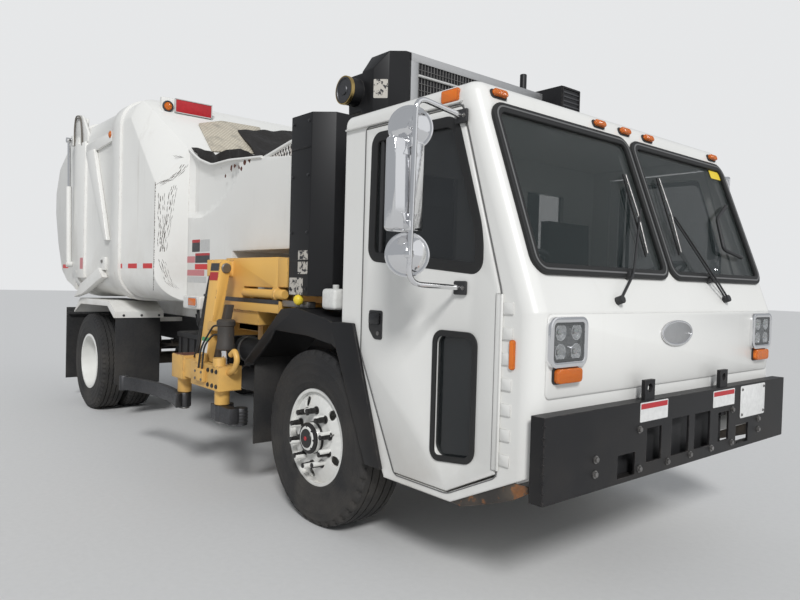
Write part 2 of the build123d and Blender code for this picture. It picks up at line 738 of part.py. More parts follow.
# Windscreen and rear window panes, each just inside its opening
with BuildPart() as window_panes:
    for side in (-1, 1):
        extrude(pane_sketch(side, -skin_gap), amount=-pane_thick)
        block((cab_rear_x + 10, cab_rear_x + 10 + pane_thick),
              (side * rear_pane_y - rear_pane_size[0] / 2 + skin_gap,
               side * rear_pane_y + rear_pane_size[0] / 2 - skin_gap),
              (rear_pane_z - rear_pane_size[1] / 2 + skin_gap,
               rear_pane_z + rear_pane_size[1] / 2 - skin_gap))

# Lamps: headlamps and indicators on the cab's front, round lamps on the rear guard bar
with BuildPart() as lamps:
    for side in (-1, 1):
        block((cab_front_x + skin_gap, cab_front_x + lamp_depth),
              (side * headlamp_y - headlamp_size[0] / 2, side * headlamp_y + headlamp_size[0] / 2),
              (headlamp_z - headlamp_size[1] / 2, headlamp_z + headlamp_size[1] / 2))
        block((cab_front_x + skin_gap, cab_front_x + lamp_depth),
              (side * headlamp_y - indicator_size[0] / 2,
               side * headlamp_y + indicator_size[0] / 2),
              (indicator_z - indicator_size[1] / 2, indicator_z + indicator_size[1] / 2))
        for y in tail_lamp_y:
            bar((guard_x - skin_gap, side * y, sum(guard_z) / 2),
                (guard_x - lamp_depth, side * y, sum(guard_z) / 2), tail_lamp_r)

# Cab interior: seats on the platform, a dashboard across the cab and a steering wheel each side
with BuildPart() as cab_interior:
    seat_floor = cab_platform + cab_wall + skin_gap
    seat_x = cab_rear_x + 70
    seat_y = cab_half - 480
    for side in (-1, 1):
        y = (side * seat_y - 240, side * seat_y + 240)
        block((seat_x + 60, seat_x + 510), y, (seat_floor, seat_floor + 130))
        side_prism(((seat_x, seat_floor + 60), (seat_x + 100, seat_floor + 60),
                    (seat_x + 70, seat_floor + 760), (seat_x, seat_floor + 760)), y)

    dash_back = cab_front_x - cab_wall - skin_gap
    side_prism(((dash_back - 330, cab_belt_z - 150), (dash_back - 250, cab_belt_z - 250),
                (dash_back, cab_belt_z - 250), (dash_back, screen_foot_z - 10),
                (dash_back - 200, cab_belt_z - 20)), (160 - cab_half, cab_half - 160))
    for side in (-1, 1):
        hub = (cab_front_x - 560, side * seat_y, cab_belt_z + 110)
        wheel_plane = Plane(origin=hub, x_dir=(0, 1, 0), z_dir=(-0.5, 0, 0.866))
        bar((dash_back - 220, side * seat_y, cab_belt_z - 150), hub, 28)
        with Locations(wheel_plane):
            Torus(205, 15)
            Box(410, 34, 16)
            Box(34, 410, 16)


def door_body(side):
    """A door with its window openings and the bead of the piano hinge."""
    outside = side * (cab_half + door_proud)
    inside = side * (cab_half + door_proud - door_thick)
    y = sorted((inside, outside))
    edge = run_gap
    grown = (
        (door_points[0][0] + edge, door_points[0][1] - edge),
        (door_points[1][0] + edge, door_points[1][1] + 3),
        (door_points[2][0] + 5, door_points[2][1] + edge),
        (door_points[3][0] - 2, door_points[3][1] + edge),
        (door_points[4][0] - edge, door_points[4][1] + edge),
        (door_points[5][0] - edge, door_points[5][1]),
        (door_points[6][0] - edge, door_points[6][1] - edge),
    )
    side_prism(grown, y)
    cut = sorted((side * (cab_half - 2 * cab_wall), side * (cab_half + cab_wall)))
    side_prism(door_window, cut, corner_r=door_window_r, mode=Mode.SUBTRACT)
    side_prism(slot_window, cut, corner_r=slot_window_r, mode=Mode.SUBTRACT)
    bead_y = side * (cab_half + door_hinge_r + skin_gap)
    block((door_hinge_x - 34, door_hinge_x), sorted((outside - side, outside + side * 4)),
          (door_hinge_low, cab_belt_z))
    bar((door_hinge_x, bead_y, door_hinge_low), (door_hinge_x, bead_y, cab_belt_z), door_hinge_r)


def door_panes(side):
    """The two panes of a door, a hair smaller than their openings."""
    y = sorted((side * (cab_half - 14), side * (cab_half - 14 - pane_thick)))
    for outline, corner_r in ((door_window, door_window_r), (slot_window, slot_window_r)):
        middle_x = sum(p[0] for p in outline) / len(outline)
        middle_z = sum(p[1] for p in outline) / len(outline)
        inside = tuple(
            (p[0] + (1 if p[0] < middle_x else -1), p[1] + (1 if p[1] < middle_z else -1))
            for p in outline)
        side_prism(inside, y, corner_r=corner_r)


def mirror_set(side):
    """Mirror arm, square head and two round heads, carried by the door."""
    skin = side * (cab_half + door_proud + skin_gap)
    out = side * mirror_y
    foot = skin + side * 12
    top = (mirror_x + 20, out, mirror_tube_z[1])
    low = (mirror_x, out, mirror_tube_z[0])
    for x, z, end in ((mirror_x + 15, top[2] - 30, top), (mirror_x + 40, low[2] - 10, low)):
        block((x - 35, x + 35), sorted((skin, foot)), (z - 30, z + 30))
        bar((x, foot - side * 4, z), end, mirror_tube_r)
    bar(low, top, mirror_tube_r)
    with Locations(top, low):
        Sphere(mirror_tube_r)
    block((mirror_x - 12 - mirror_head_depth, mirror_x - 12),
          sorted((out - side * mirror_head_width / 2, out + side * mirror_head_width / 2)),
          (mirror_head_low, mirror_head_high))
    for z in (mirror_head_low + 60, mirror_head_high - 60):
        block((mirror_x - 14, mirror_x + 8), sorted((out - side * 16, out + side * 16)),
              (z - 16, z + 16))
    for z in round_mirror_z:
        back = (cos(round_mirror_turn), side * sin(round_mirror_turn), 0)
        half = round_mirror_depth / 2
        with Locations(Plane(origin=(mirror_x - 8 - half * back[0], out - half * back[1], z),
                             z_dir=back)):
            Cone(round_mirror_r, 18, round_mirror_depth)
        block((mirror_x - 10, mirror_x + 8), sorted((out - side * 12, out + side * 12)),
              (z - 12, z + 12))


doors = {}
door_glass = {}
mirrors = {}
for side_name, side in (("right", -1), ("left", 1)):
    with BuildPart() as door:
        door_body(side)
    doors[side_name] = door
    with BuildPart() as panes:
        door_panes(side)
    door_glass[side_name] = panes
    with BuildPart() as mirror_pair:
        mirror_set(side)
    mirrors[side_name] = mirror_pair

# Front fenders: a sloping visor over each front wheel, joined to a strip along the cab
fender_top = tuple((steer_x + x, cab_platform + z) for x, z in fender_line)
with BuildPart() as front_fenders:
    for side in (-1, 1):
        y = sorted((side * fender_inner, side * fender_half))
        lower = tuple((x + 8, z - fender_thick - 8) for x, z in reversed(fender_top))
        side_prism(fender_top + lower, y)
        face = sorted((side * (fender_half - 24), side * fender_half))
        arch = tuple((steer_x + x, cab_platform + z) for x, z in fender_arch)
        side_prism(fender_top + arch, face)
        strip = sorted((side * (cab_half + skin_gap), side * fender_half))
        strip_top = cab_platform + 105
        side_prism(((steer_x + 210, strip_top - 10), (cab_rear_x - 25, strip_top),
                    (cab_rear_x + 130, strip_top), (cab_rear_x + 405, door_low),
                    (cab_rear_x + 270, door_low), (cab_rear_x - 25, cab_platform - 50),
                    (steer_x + 210, cab_platform - 20)), strip)

# Rear fenders over the twin wheels, with a lip along the outer edge, on arms bolted to the rails
rear_fender = tuple((drive_x + x, rear_fender_top + z) for x, z in rear_fender_line)
with BuildPart() as rear_fenders:
    for side in (-1, 1):
        y = sorted((side * rear_fender_inner, side * half_width))
        side_prism(rear_fender + tuple((drive_x + x, rear_fender_top + z) for x, z in rear_fender_under), y)
        side_prism(rear_fender + tuple((drive_x + x, rear_fender_top + z) for x, z in rear_fender_lip),
                   sorted((side * (half_width - rear_fender_thick), side * half_width)))
        for x, low, high in fender_arms:
            at = drive_x + x
            block((at - 30, at + 30), sorted((side * (rail_half_gap + skin_gap), side * 780)),
                  (rail_top - 50, rail_top - 5))
            side_prism(((at - 30, rail_top - 50), (at + 30, rail_top - 50),
                        (at + 30, rear_fender_top + high), (at - 30, rear_fender_top + low)),
                       sorted((side * 740, side * 780)))

# Mud flaps: behind the front wheels, before and behind the twin wheels
flap_x = fender_top[0][0] + 92
flap_rise = (fender_top[1][1] - fender_top[0][1]) / (fender_top[1][0] - fender_top[0][0])
flap_top = fender_top[0][1] - fender_thick - 8 + (flap_x - fender_top[0][0] - 8) * flap_rise - skin_gap
front_flap_x = rear_fender[-1][0] - rear_fender_thick - flap_thick - skin_gap
front_flap_top = rear_fender[-2][1] - 10
rear_flap_x = rear_fender[0][0] - flap_back
rear_flap_top = rail_top + 35
with BuildPart() as mud_flaps:
    for side in (-1, 1):
        block((flap_x, flap_x + flap_thick), sorted((side * (wheel_y - 260), side * (wheel_y + 150))),
              (350, flap_top))
        wide = sorted((side * (rear_fender_inner + 30), side * (half_width - rear_fender_thick - skin_gap)))
        block((front_flap_x, front_flap_x + flap_thick), wide, (380, front_flap_top))
        block((rear_flap_x, rear_flap_x + flap_thick), wide, (230, rear_flap_top))
        block((rear_flap_x + flap_thick - 1, rear_flap_x + 60),
              sorted((side * (rail_half_gap + skin_gap), side * (half_width - 30))),
              (rail_top - 50, rail_top - 10))

# Exhaust stack: an eight-sided column behind the cab on the right
corner = stack_half - stack_cut
with BuildPart() as exhaust_stack:
    plan_prism((
        (stack_x - stack_half, stack_y - corner), (stack_x - corner, stack_y - stack_half),
        (stack_x + corner, stack_y - stack_half), (stack_x + stack_half, stack_y - corner),
        (stack_x + stack_half, stack_y + corner), (stack_x + corner, stack_y + stack_half),
        (stack_x - corner, stack_y + stack_half), (stack_x - stack_half, stack_y + corner),
    ), (stack_low, stack_top))

# Cooling tower behind the cab: housing on two legs, side box, air drum, roof scoop and stub pipe
tower_side_y = tower_y[0] - tower_side_depth
with BuildPart() as cooling_tower:
    block(tower_x, tower_y, tower_z)
    for side in (-1, 1):
        block((tower_x[0] + 40, tower_x[1] - 40),
              sorted((side * (rail_half_gap - rail_flange), side * rail_half_gap)),
              (rail_top + skin_gap, tower_z[0] + 1))
    for z in (stack_low + 110, stack_top - 250):
        block((stack_x - 40, stack_x + 40), (stack_y + stack_half + skin_gap, tower_y[0] + 1),
              (z, z + 60))
    plan_prism(((tower_side_x[0], tower_y[0] + 2), (tower_side_x[1], tower_y[0] + 2),
                (tower_side_x[1], tower_side_y + tower_side_cut),
                (tower_side_x[1] - tower_side_cut, tower_side_y),
                (tower_side_x[0], tower_side_y)), tower_side_z)
    with BuildSketch(Plane.YZ.offset(tower_side_x[0] - 1)) as shoulder:
        with BuildLine():
            Polyline((tower_side_y - 1, tower_z[1] - 145), (tower_side_y + tower_side_cut, tower_z[1] - 33),
                     (tower_side_y + 3 * tower_side_cut, tower_z[1] + 1),
                     (tower_side_y - 1, tower_z[1] + 1), close=True)
        make_face()
    extrude(shoulder.sketch, amount=tower_side_x[1] - tower_side_x[0] + 2, mode=Mode.SUBTRACT)
    drum_x = tower_x[0] + 30
    drum_z = tower_z[1] - 270
    bar((drum_x, tower_side_y - air_drum_reach, drum_z), (drum_x, tower_y[0] + 1, drum_z), air_drum_r)
    block((tower_x[0] - 50, tower_side_x[0] + 1), (tower_side_y, tower_y[0] + 1),
          (drum_z - 130, drum_z + 120))
    bar((tower_x[1] - 60, tower_y[1] - 173, tower_z[1] - 5),
        (tower_x[1] - 60, tower_y[1] - 173, tower_z[1] + 130), 26)
    block((tower_x[0] + 60, tower_x[1]), (tower_y[1] - 2, tower_y[1] + 80),
          (tower_z[1] - 150, tower_z[1] - 50))
    block((tower_x[0] + 60, tower_x[1] + 120), (tower_y[1] + 78, tower_y[1] + 315),
          (tower_z[1] - 150, tower_z[1] + 65))

# Storage body
body_low_r = body_side_low - body_floor
lug_y = gate_lug_y + gate_lug_thick + 5
with BuildPart() as storage_body:
    with BuildSketch(Plane.YZ.offset(body_rear_x)) as shell:
        with Locations((0, (body_floor + body_roof) / 2)):
            Rectangle(2 * body_half, body_roof - body_floor)
        fillet(shell.vertices().group_by(Axis.Y)[0], body_low_r)
        fillet(shell.vertices().group_by(Axis.Y)[-1], body_roof_r)
    extrude(shell.sketch, amount=body_front_x - body_rear_x)
    for low, high in (rib_x, rear_post_x):
        with BuildSketch(Plane.YZ.offset(low)) as rib:
            with Locations((0, (body_floor + body_roof) / 2)):
                Rectangle(2 * (body_half + rib_out), body_roof - body_floor + 2 * rib_out)
            fillet(rib.vertices().group_by(Axis.Y)[0], body_low_r + rib_out)
            fillet(rib.vertices().group_by(Axis.Y)[-1], body_roof_r + rib_out)
        extrude(rib.sketch, amount=high - low)
    for side in (-1, 1):
        block((rear_post_x[1] - 1, rear_pillar_x),
              sorted((side * (body_half - body_wall), side * (body_half + rib_out))),
              (body_floor + 0.65 * body_low_r, body_roof - body_roof_r))
    side_prism(((body_hood_x, body_roof), (body_front_x, body_hood_z),
                (body_front_x + 10, body_hood_z), (body_front_x + 10, body_roof + 10),
                (body_hood_x, body_roof + 10)), (-body_half - 5, body_half + 5),
               mode=Mode.SUBTRACT)
    for side in (-1, 1):
        # An upright 45 degree panel narrows the body to the hopper, under a sloping corner facet.
        outside = side * (body_half + 2 * rib_out)
        plan_prism(((body_corner_x, side * body_half), (body_front_x, side * hopper_half),
                    (body_front_x + 10, side * hopper_half), (body_front_x + 10, outside),
                    (body_corner_x, outside)),
                   (body_floor - 10, body_roof + 10), mode=Mode.SUBTRACT)
        low = Vector(body_corner_x, side * body_half, body_corner_z)
        back = Vector(body_shoulder[0], side * body_half, body_shoulder[1])
        front = Vector(body_front_x, side * hopper_half, body_hood_z)
        facing = (front - low).cross(back - low) * side
        facet = Plane(origin=low, z_dir=facing if facing.Z > 0 else -facing)
        split(bisect_by=facet, keep=Keep.BOTTOM)
    with BuildSketch(Plane.YZ.offset(body_rear_x - 1)) as hollow:
        with Locations((0, (body_floor + body_roof) / 2)):
            Rectangle(2 * (body_half - body_wall), body_roof - body_floor - 2 * body_wall)
        fillet(hollow.vertices().group_by(Axis.Y)[0], body_low_r - body_wall)
        fillet(hollow.vertices().group_by(Axis.Y)[-1], body_roof_r - body_wall)
    extrude(hollow.sketch, amount=body_hood_x - body_rear_x - 30, mode=Mode.SUBTRACT)
    throat = hood_wall * 1.3
    side_prism(((body_hood_x - hood_wall, body_floor + body_wall),
                (body_front_x + 5, body_floor + body_wall),
                (body_front_x + 5, body_hood_z - throat),
                (body_hood_x - hood_wall, body_roof - throat)),
               (-hopper_half + hopper_wall, hopper_half - hopper_wall), mode=Mode.SUBTRACT)
    for side in (-1, 1):
        y = sorted((side * (sill_y - sill_half), side * (sill_y + sill_half)))
        block((tip_x, hopper_step_x), y, (sill_low, body_floor + 5))
        bar((tip_x, y[0], tip_z), (tip_x, y[1], tip_z), tip_lug_r)
        bar((tip_x, side * sill_y, tip_z), (tip_x, side * (rail_half_gap + tip_lug_thick), tip_z), tip_pin_r)
        eye_x, eye_z = hoist_eye
        side_prism(((eye_x - 90, body_floor + 5), (eye_x - 40, eye_z - 50),
                    (eye_x + 40, eye_z - 50), (eye_x + 90, body_floor + 5)),
                   sorted((side * hoist_lug[0], side * hoist_lug[1])))
        side_prism(((gate_hinge_x + 5, body_roof - 85), (gate_hinge_x + 50, body_roof - 85),
                    (gate_hinge_x + 50, gate_hinge_z + 15), (gate_hinge_x + 25, gate_hinge_z + 40),
                    (gate_hinge_x - 25, gate_hinge_z + 40), (gate_hinge_x - 42, gate_hinge_z + 15),
                    (gate_hinge_x - 42, gate_hinge_z - 35), (gate_hinge_x + 5, gate_hinge_z - 70)),
                   sorted((side * lug_y, side * (lug_y + 30))))
        bar((gate_hinge_x, side * (lug_y - 1), gate_hinge_z),
            (gate_hinge_x, side * (lug_y + 31), gate_hinge_z),
            gate_pin_r + pin_clear, mode=Mode.SUBTRACT)
        pivot_x, pivot_z = gate_cylinder_pivot
        bar((pivot_x, side * (body_half - 10), pivot_z),
            (pivot_x, side * (gate_cylinder_y + eye_half + 6), pivot_z), pivot_pin_r)

# Hopper tub in front of the storage body, open at the top
lip = tuple((body_front_x + x, body_hood_z + z) for x, z in hopper_lip)
with BuildPart() as hopper_tub:
    side_prism(((body_front_x + skin_gap, hopper_low), (hopper_step_x, hopper_low),
                (hopper_step_x, hopper_shelf), (hopper_front_x, hopper_shelf))
               + tuple(reversed(lip[1:])) + ((body_front_x + skin_gap, lip[0][1]),),
               (-hopper_half, hopper_half))
    side_prism(((body_front_x - 1, hopper_low + hopper_wall),
                (hopper_step_x - hopper_wall, hopper_low + hopper_wall),
                (hopper_step_x - hopper_wall, hopper_shelf + hopper_wall),
                (hopper_front_x - hopper_wall, hopper_shelf + hopper_wall),
                (hopper_front_x - hopper_wall, body_hood_z + 100),
                (body_front_x - 1, body_hood_z + 100)),
               (-hopper_half + hopper_wall, hopper_half - hopper_wall), mode=Mode.SUBTRACT)


def cylinder_barrel(pivot, eye, y, radius, length, half):
    """A barrel from its pivot towards the rod's eye, bored for its pivot pin."""
    run = hypot(eye[0] - pivot[0], eye[1] - pivot[1])
    step = ((eye[0] - pivot[0]) / run, (eye[1] - pivot[1]) / run)
    start = (pivot[0], y, pivot[1])
    end = (pivot[0] + step[0] * length, y, pivot[1] + step[1] * length)
    bar(start, end, radius)
    bar((pivot[0], y - half, pivot[1]), (pivot[0], y + half, pivot[1]), radius + 6)
    bar((pivot[0], y - radius - 9, pivot[1]), (pivot[0], y - half, pivot[1]), radius + 9,
        mode=Mode.SUBTRACT)
    bar((pivot[0], y + half, pivot[1]), (pivot[0], y + radius + 9, pivot[1]), radius + 9,
        mode=Mode.SUBTRACT)
    bar((pivot[0], y - half - 1, pivot[1]), (pivot[0], y + half + 1, pivot[1]),
        pivot_pin_r + pin_clear, mode=Mode.SUBTRACT)


def cylinder_rod(pivot, eye, y, barrel_length, radius, eye_r, half):
    """A rod that stands out of its barrel and ends in an eye."""
    run = hypot(eye[0] - pivot[0], eye[1] - pivot[1])
    step = ((eye[0] - pivot[0]) / run, (eye[1] - pivot[1]) / run)
    start = (pivot[0] + step[0] * (barrel_length + skin_gap), y,
             pivot[1] + step[1] * (barrel_length + skin_gap))
    bar(start, (eye[0], y, eye[1]), radius)
    bar((eye[0], y - half, eye[1]), (eye[0], y + half, eye[1]), eye_r)


with BuildPart() as hoist_barrel:
    cylinder_barrel(hoist_pivot, hoist_eye, 0, hoist_barrel_r, hoist_barrel_length,
                    hoist_half)
with BuildPart() as hoist_rod:
    cylinder_rod(hoist_pivot, hoist_eye, 0, hoist_barrel_length, hoist_rod_r, 58,
                 hoist_half)
with BuildPart() as gate_barrels:
    for side in (-1, 1):
        cylinder_barrel(gate_cylinder_pivot, gate_cylinder_eye, side * gate_cylinder_y,
                        gate_barrel_r, gate_barrel_length, eye_half)
with BuildPart() as gate_rods:
    for side in (-1, 1):
        cylinder_rod(gate_cylinder_pivot, gate_cylinder_eye, side * gate_cylinder_y,
                     gate_barrel_length, gate_rod_r, 30, eye_half)

# Packer paddle on its upright shaft, which stands on the pit's floor
pit_floor = hopper_low + hopper_wall
paddle_z = (pit_floor + run_gap, pit_floor + run_gap + paddle_height)
with BuildPart() as packer_paddle:
    bar((paddle_x, 0, pit_floor + skin_gap), (paddle_x, 0, paddle_z[1]), 70)
    block((paddle_x - 60, paddle_x + 60), (100 - hopper_half, 0), paddle_z)

# Tailgate shell, open towards the load space
gate_outline = (
    ((body_rear_x - 10, gate_low),)
    + tuple((body_rear_x + x, body_floor + z) for x, z in gate_line)
    + ((body_rear_x - 110, gate_top), (body_rear_x - 10, gate_top))
)
gate_inner = (
    ((body_rear_x, gate_low + 40),)
    + tuple((body_rear_x + x, body_floor + z) for x, z in gate_inner_line)
    + ((body_rear_x - 100, gate_top - 35), (body_rear_x, gate_top - 35))
)
with BuildPart() as tailgate:
    side_prism(gate_outline, (-gate_half, gate_half))
    side_prism(gate_inner, (-gate_half + gate_wall, gate_half - gate_wall), mode=Mode.SUBTRACT)
    for side in (-1, 1):
        side_prism(((gate_hinge_x - 110, gate_top - 10), (gate_hinge_x - 15, gate_top - 10),
                    (gate_hinge_x + 38, gate_hinge_z - 20), (gate_hinge_x + 38, gate_hinge_z + 25),
                    (gate_hinge_x + 10, gate_hinge_z + 43), (gate_hinge_x - 40, gate_hinge_z + 25)),
                   sorted((side * gate_lug_y, side * (gate_lug_y + gate_lug_thick))))
        bar((gate_hinge_x, side * (gate_lug_y + 20), gate_hinge_z),
            (gate_hinge_x, side * (lug_y + 38), gate_hinge_z), gate_pin_r)
        eye_x, eye_z = gate_cylinder_eye
        inner = gate_cylinder_y - eye_half - lug_gap
        block((eye_x - 45, eye_x + 45), sorted((side * (gate_half - 10), side * inner)),
              (eye_z - 60, eye_z + 60))

# Arm base: two cross beams on the rails and two guide frames round the boom
with BuildPart() as arm_base:
    for x in arm_rail_x:
        block((x - arm_rail_width / 2, x + arm_rail_width / 2), (guide_y[0] - 100, -guide_y[0] + 20),
              (rail_top + skin_gap, arm_rail_top))
    for y in guide_y:
        block((arm_rail_x[0] - 45, arm_rail_x[1] + 45), (y - 60, y + 60),
              (arm_rail_top - 60, boom_z[1] + 60))
        block((boom_x[0] - 3, boom_x[1] + 3), (y - 61, y + 61), (boom_z[0] - skin_gap, boom_z[1] + 3),
              mode=Mode.SUBTRACT)

# Arm carriage: a sliding boom with a cross tube and a worn rail along the vehicle's side
with BuildPart() as arm_carriage:
    block(boom_x, (arm_side_y[0] + 60, half_width - 320), boom_z)
    block(boom_x, arm_side_y, (boom_z[0], cross_tube_z[1]))
    block(cross_tube_x, arm_side_y, cross_tube_z)
    block(side_rail_x, (arm_side_y[0] - 30, arm_side_y[1] - 50), side_rail_z)
    block((side_rail_x[0] + 10, side_rail_x[1] - 300), (arm_side_y[0] - 10, arm_side_y[1]),
          (boom_z[0] - 12, side_rail_z[0] + 1))
    motor_z = cross_tube_z[0] - 42
    bar((cross_tube_x[0] + 320, arm_side_y[0] - 8, motor_z),
        (cross_tube_x[1], arm_side_y[0] - 8, motor_z), 30)
    block((cross_tube_x[1] - 60, cross_tube_x[1]), (arm_side_y[0] - 10, arm_side_y[1]),
          (side_rail_z[1] - 1, cross_tube_z[0] + 1))
    ear_y = (arm_pivot_y - 45, arm_side_y[0] + 5)
    ear_x = (post_x[0] - 72, post_x[0] - 6)
    block(ear_x, ear_y, (arm_pivot_z - 60, arm_pivot_z + 60))
    bar((ear_x[0] - 1, arm_pivot_y, arm_pivot_z), (ear_x[1] + 1, arm_pivot_y, arm_pivot_z),
        arm_pivot_r + pin_clear, mode=Mode.SUBTRACT)

# Lift arm: a tapered post hung from the pivot, an inner link and the grabber head at its foot
with BuildPart() as lift_arm:
    half = post_depth / 2
    with BuildSketch(Plane.YZ.offset(post_x[0])) as post:
        with BuildLine():
            Polyline((arm_pivot_y - half, arm_pivot_z + 40), (arm_pivot_y - half + 20, arm_pivot_z + 62),
                     (arm_pivot_y + half - 20, arm_pivot_z + 62), (arm_pivot_y + half, arm_pivot_z + 40),
                     (post_low_y + half - 20, post_low_z), (post_low_y - half + 20, post_low_z),
                     close=True)
        make_face()
    extrude(post.sketch, amount=post_x[1] - post_x[0])
    bar((post_x[0] - 68, arm_pivot_y, arm_pivot_z), (post_x[1] + 14, arm_pivot_y, arm_pivot_z),
        arm_pivot_r)
    # The head: a box with a deeper front casting, two upright cylinder eyes and the finger pins
    block((head_x[0], head_x[1]), head_y, (head_z[0] + 30, head_z[1]))
    block((head_x[1] - 430, head_x[1]), (head_y[0] - 15, head_y[1] + 15), head_z)
    block((head_x[0], head_x[0] + 200), (head_y[0] - 15, head_y[1] + 15),
          (head_z[0] + 10, head_z[1] + 20))
    bar((tilt_x, tilt_y, head_z[1] - 20), (tilt_x, tilt_y, tilt_z[0]), 24)
    bar((tilt_x, tilt_y, tilt_z[0] - 1), (tilt_x, tilt_y, tilt_z[1]), 48)
    block((post_x[1] - 5, tilt_x), (tilt_y - 20, tilt_y + 20), (tilt_z[1] - 80, tilt_z[1] - 20))
    for x in (head_x[1] - 330, head_x[1] - 60):
        bar((x, head_y[0] + 20, head_z[1] - 5), (x, head_y[0] + 20, head_z[1] + 55), 42)
    for x in (rear_finger_x, front_finger_x):
        bar((x, finger_y, finger_z[0] - 10), (x, finger_y, head_z[0] + 35), finger_pin_r)
        bar((x, finger_y, finger_z[1] + lug_gap), (x, finger_y, head_z[0] + 35), finger_pin_r + 26)

# Fingers: a long bowed bar and a short one with rubber rollers, on upright pins below the head
with BuildPart() as grabber_finger_rear:
    tip_at = (rear_finger_x - finger_reach, finger_y - 90)
    with BuildSketch(Plane.XY.offset(finger_z[0])) as bow:
        with BuildLine():
            ThreePointArc((rear_finger_x + 50, finger_y - 42),
                          (rear_finger_x - finger_reach / 2, finger_y + 20), tip_at)
            Line(tip_at, (tip_at[0] + 12, tip_at[1] - finger_thick))
            ThreePointArc((tip_at[0] + 12, tip_at[1] - finger_thick),
                          (rear_finger_x - finger_reach / 2, finger_y + 20 - finger_thick),
                          (rear_finger_x + 50, finger_y - 42 - finger_thick))
            Line((rear_finger_x + 50, finger_y - 42 - finger_thick), (rear_finger_x + 50, finger_y - 42))
        make_face()
    extrude(bow.sketch, amount=finger_z[1] - finger_z[0])
    bar((rear_finger_x, finger_y, finger_z[0]), (rear_finger_x, finger_y, finger_z[1]),
        finger_pin_r + 24)
    bar((tip_at[0], tip_at[1] - finger_thick / 2, finger_z[0] - 8),
        (tip_at[0], tip_at[1] - finger_thick / 2, finger_z[1] + 8), finger_thick * 0.8)
    bar((rear_finger_x, finger_y, finger_z[0] - 1), (rear_finger_x, finger_y, finger_z[1] + 1),
        finger_pin_r + pin_clear, mode=Mode.SUBTRACT)
with BuildPart() as grabber_finger_front:
    block((front_finger_x - 100, front_finger_x + 175), (finger_y - 35, finger_y + 35), finger_z)
    for x in (front_finger_x - 70, front_finger_x + 130):
        bar((x, finger_y + 70, finger_z[0] - 15), (x, finger_y + 70, finger_z[1] - 5), 46)
    bar((front_finger_x, finger_y, finger_z[0]), (front_finger_x, finger_y, finger_z[1]),
        finger_pin_r + 24)
    bar((front_finger_x, finger_y, finger_z[0] - 1), (front_finger_x, finger_y, finger_z[1] + 1),
        finger_pin_r + pin_clear, mode=Mode.SUBTRACT)

pieces = {
    "frame_rails": frame_rails, "frame_cross_members": frame_cross_members, "axles": axles,
    "leaf_springs": leaf_springs, "engine_block": engine_block, "side_tanks": side_tanks,
    "front_bumper": front_bumper, "cab_shell": cab_shell, "window_panes": window_panes,
    "lamps": lamps, "cab_interior": cab_interior,
    "front_fenders": front_fenders, "rear_fenders": rear_fenders, "mud_flaps": mud_flaps,
    "exhaust_stack": exhaust_stack, "cooling_tower": cooling_tower,
    "storage_body": storage_body, "hopper_tub": hopper_tub, "packer_paddle": packer_paddle,
    "tailgate": tailgate, "hoist_barrel": hoist_barrel, "hoist_rod": hoist_rod,
    "gate_barrels": gate_barrels, "gate_rods": gate_rods,
    "arm_base": arm_base, "arm_carriage": arm_carriage, "lift_arm": lift_arm,
    "grabber_finger_rear": grabber_finger_rear, "grabber_finger_front": grabber_finger_front,
}
for side_name in ("right", "left"):
    pieces["tyre_front_" + side_name] = front_tyres[side_name]
    pieces["rim_front_" + side_name] = front_rims[side_name]
    pieces["knuckle_" + side_name] = knuckles[side_name]
    pieces["tyres_rear_" + side_name] = drive_tyres[side_name]
    pieces["rims_rear_" + side_name] = drive_rims[side_name]
    pieces["door_" + side_name] = doors[side_name]
    pieces["door_glass_" + side_name] = door_glass[side_name]
    pieces["mirror_" + side_name] = mirrors[side_name]

os.makedirs("parts", exist_ok=True)
for name, piece in pieces.items():
    piece.part.label = name
    export_step(piece.part, f"parts/{name}.step")
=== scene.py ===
import json
import math
import random
import bpy
from mathutils import Matrix, Vector, noise


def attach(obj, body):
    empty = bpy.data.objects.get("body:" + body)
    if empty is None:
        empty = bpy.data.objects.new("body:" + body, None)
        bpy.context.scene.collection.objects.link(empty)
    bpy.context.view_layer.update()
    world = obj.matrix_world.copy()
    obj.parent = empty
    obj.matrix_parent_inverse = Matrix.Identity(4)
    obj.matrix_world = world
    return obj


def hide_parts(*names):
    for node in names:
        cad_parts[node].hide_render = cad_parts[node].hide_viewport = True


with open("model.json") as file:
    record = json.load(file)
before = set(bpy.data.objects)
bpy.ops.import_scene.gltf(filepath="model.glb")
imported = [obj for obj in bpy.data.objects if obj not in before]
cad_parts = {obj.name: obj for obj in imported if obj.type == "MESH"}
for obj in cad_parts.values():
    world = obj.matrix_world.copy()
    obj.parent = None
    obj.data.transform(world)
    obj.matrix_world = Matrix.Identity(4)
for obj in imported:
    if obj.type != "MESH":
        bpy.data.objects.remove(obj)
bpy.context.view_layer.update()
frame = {"nodes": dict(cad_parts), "record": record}
rng = random.Random(7)


# Selecting, applying and finishing

def takeUp(obj):
    bpy.ops.object.select_all(action="DESELECT")
    obj.select_set(True)
    bpy.context.view_layer.objects.active = obj
    return obj


def chooseFaces(obj, test):  # test takes a face; the mesh is left in edit mode
    takeUp(obj)
    bpy.ops.object.mode_set(mode="EDIT")
    bpy.ops.mesh.select_mode(type="FACE")
    bpy.ops.mesh.select_all(action="DESELECT")
    bpy.ops.object.mode_set(mode="OBJECT")
    for face in obj.data.polygons:
        face.select = bool(test(face))
    bpy.ops.object.mode_set(mode="EDIT")


def chooseAll(obj):
    takeUp(obj)
    bpy.ops.object.mode_set(mode="EDIT")
    bpy.ops.mesh.select_all(action="SELECT")


def leaveEdit():
    bpy.ops.object.mode_set(mode="OBJECT")


def settle(obj):  # the object's place goes into its mesh
    takeUp(obj)
    bpy.ops.object.transform_apply(location=True, rotation=True, scale=True)
    return obj


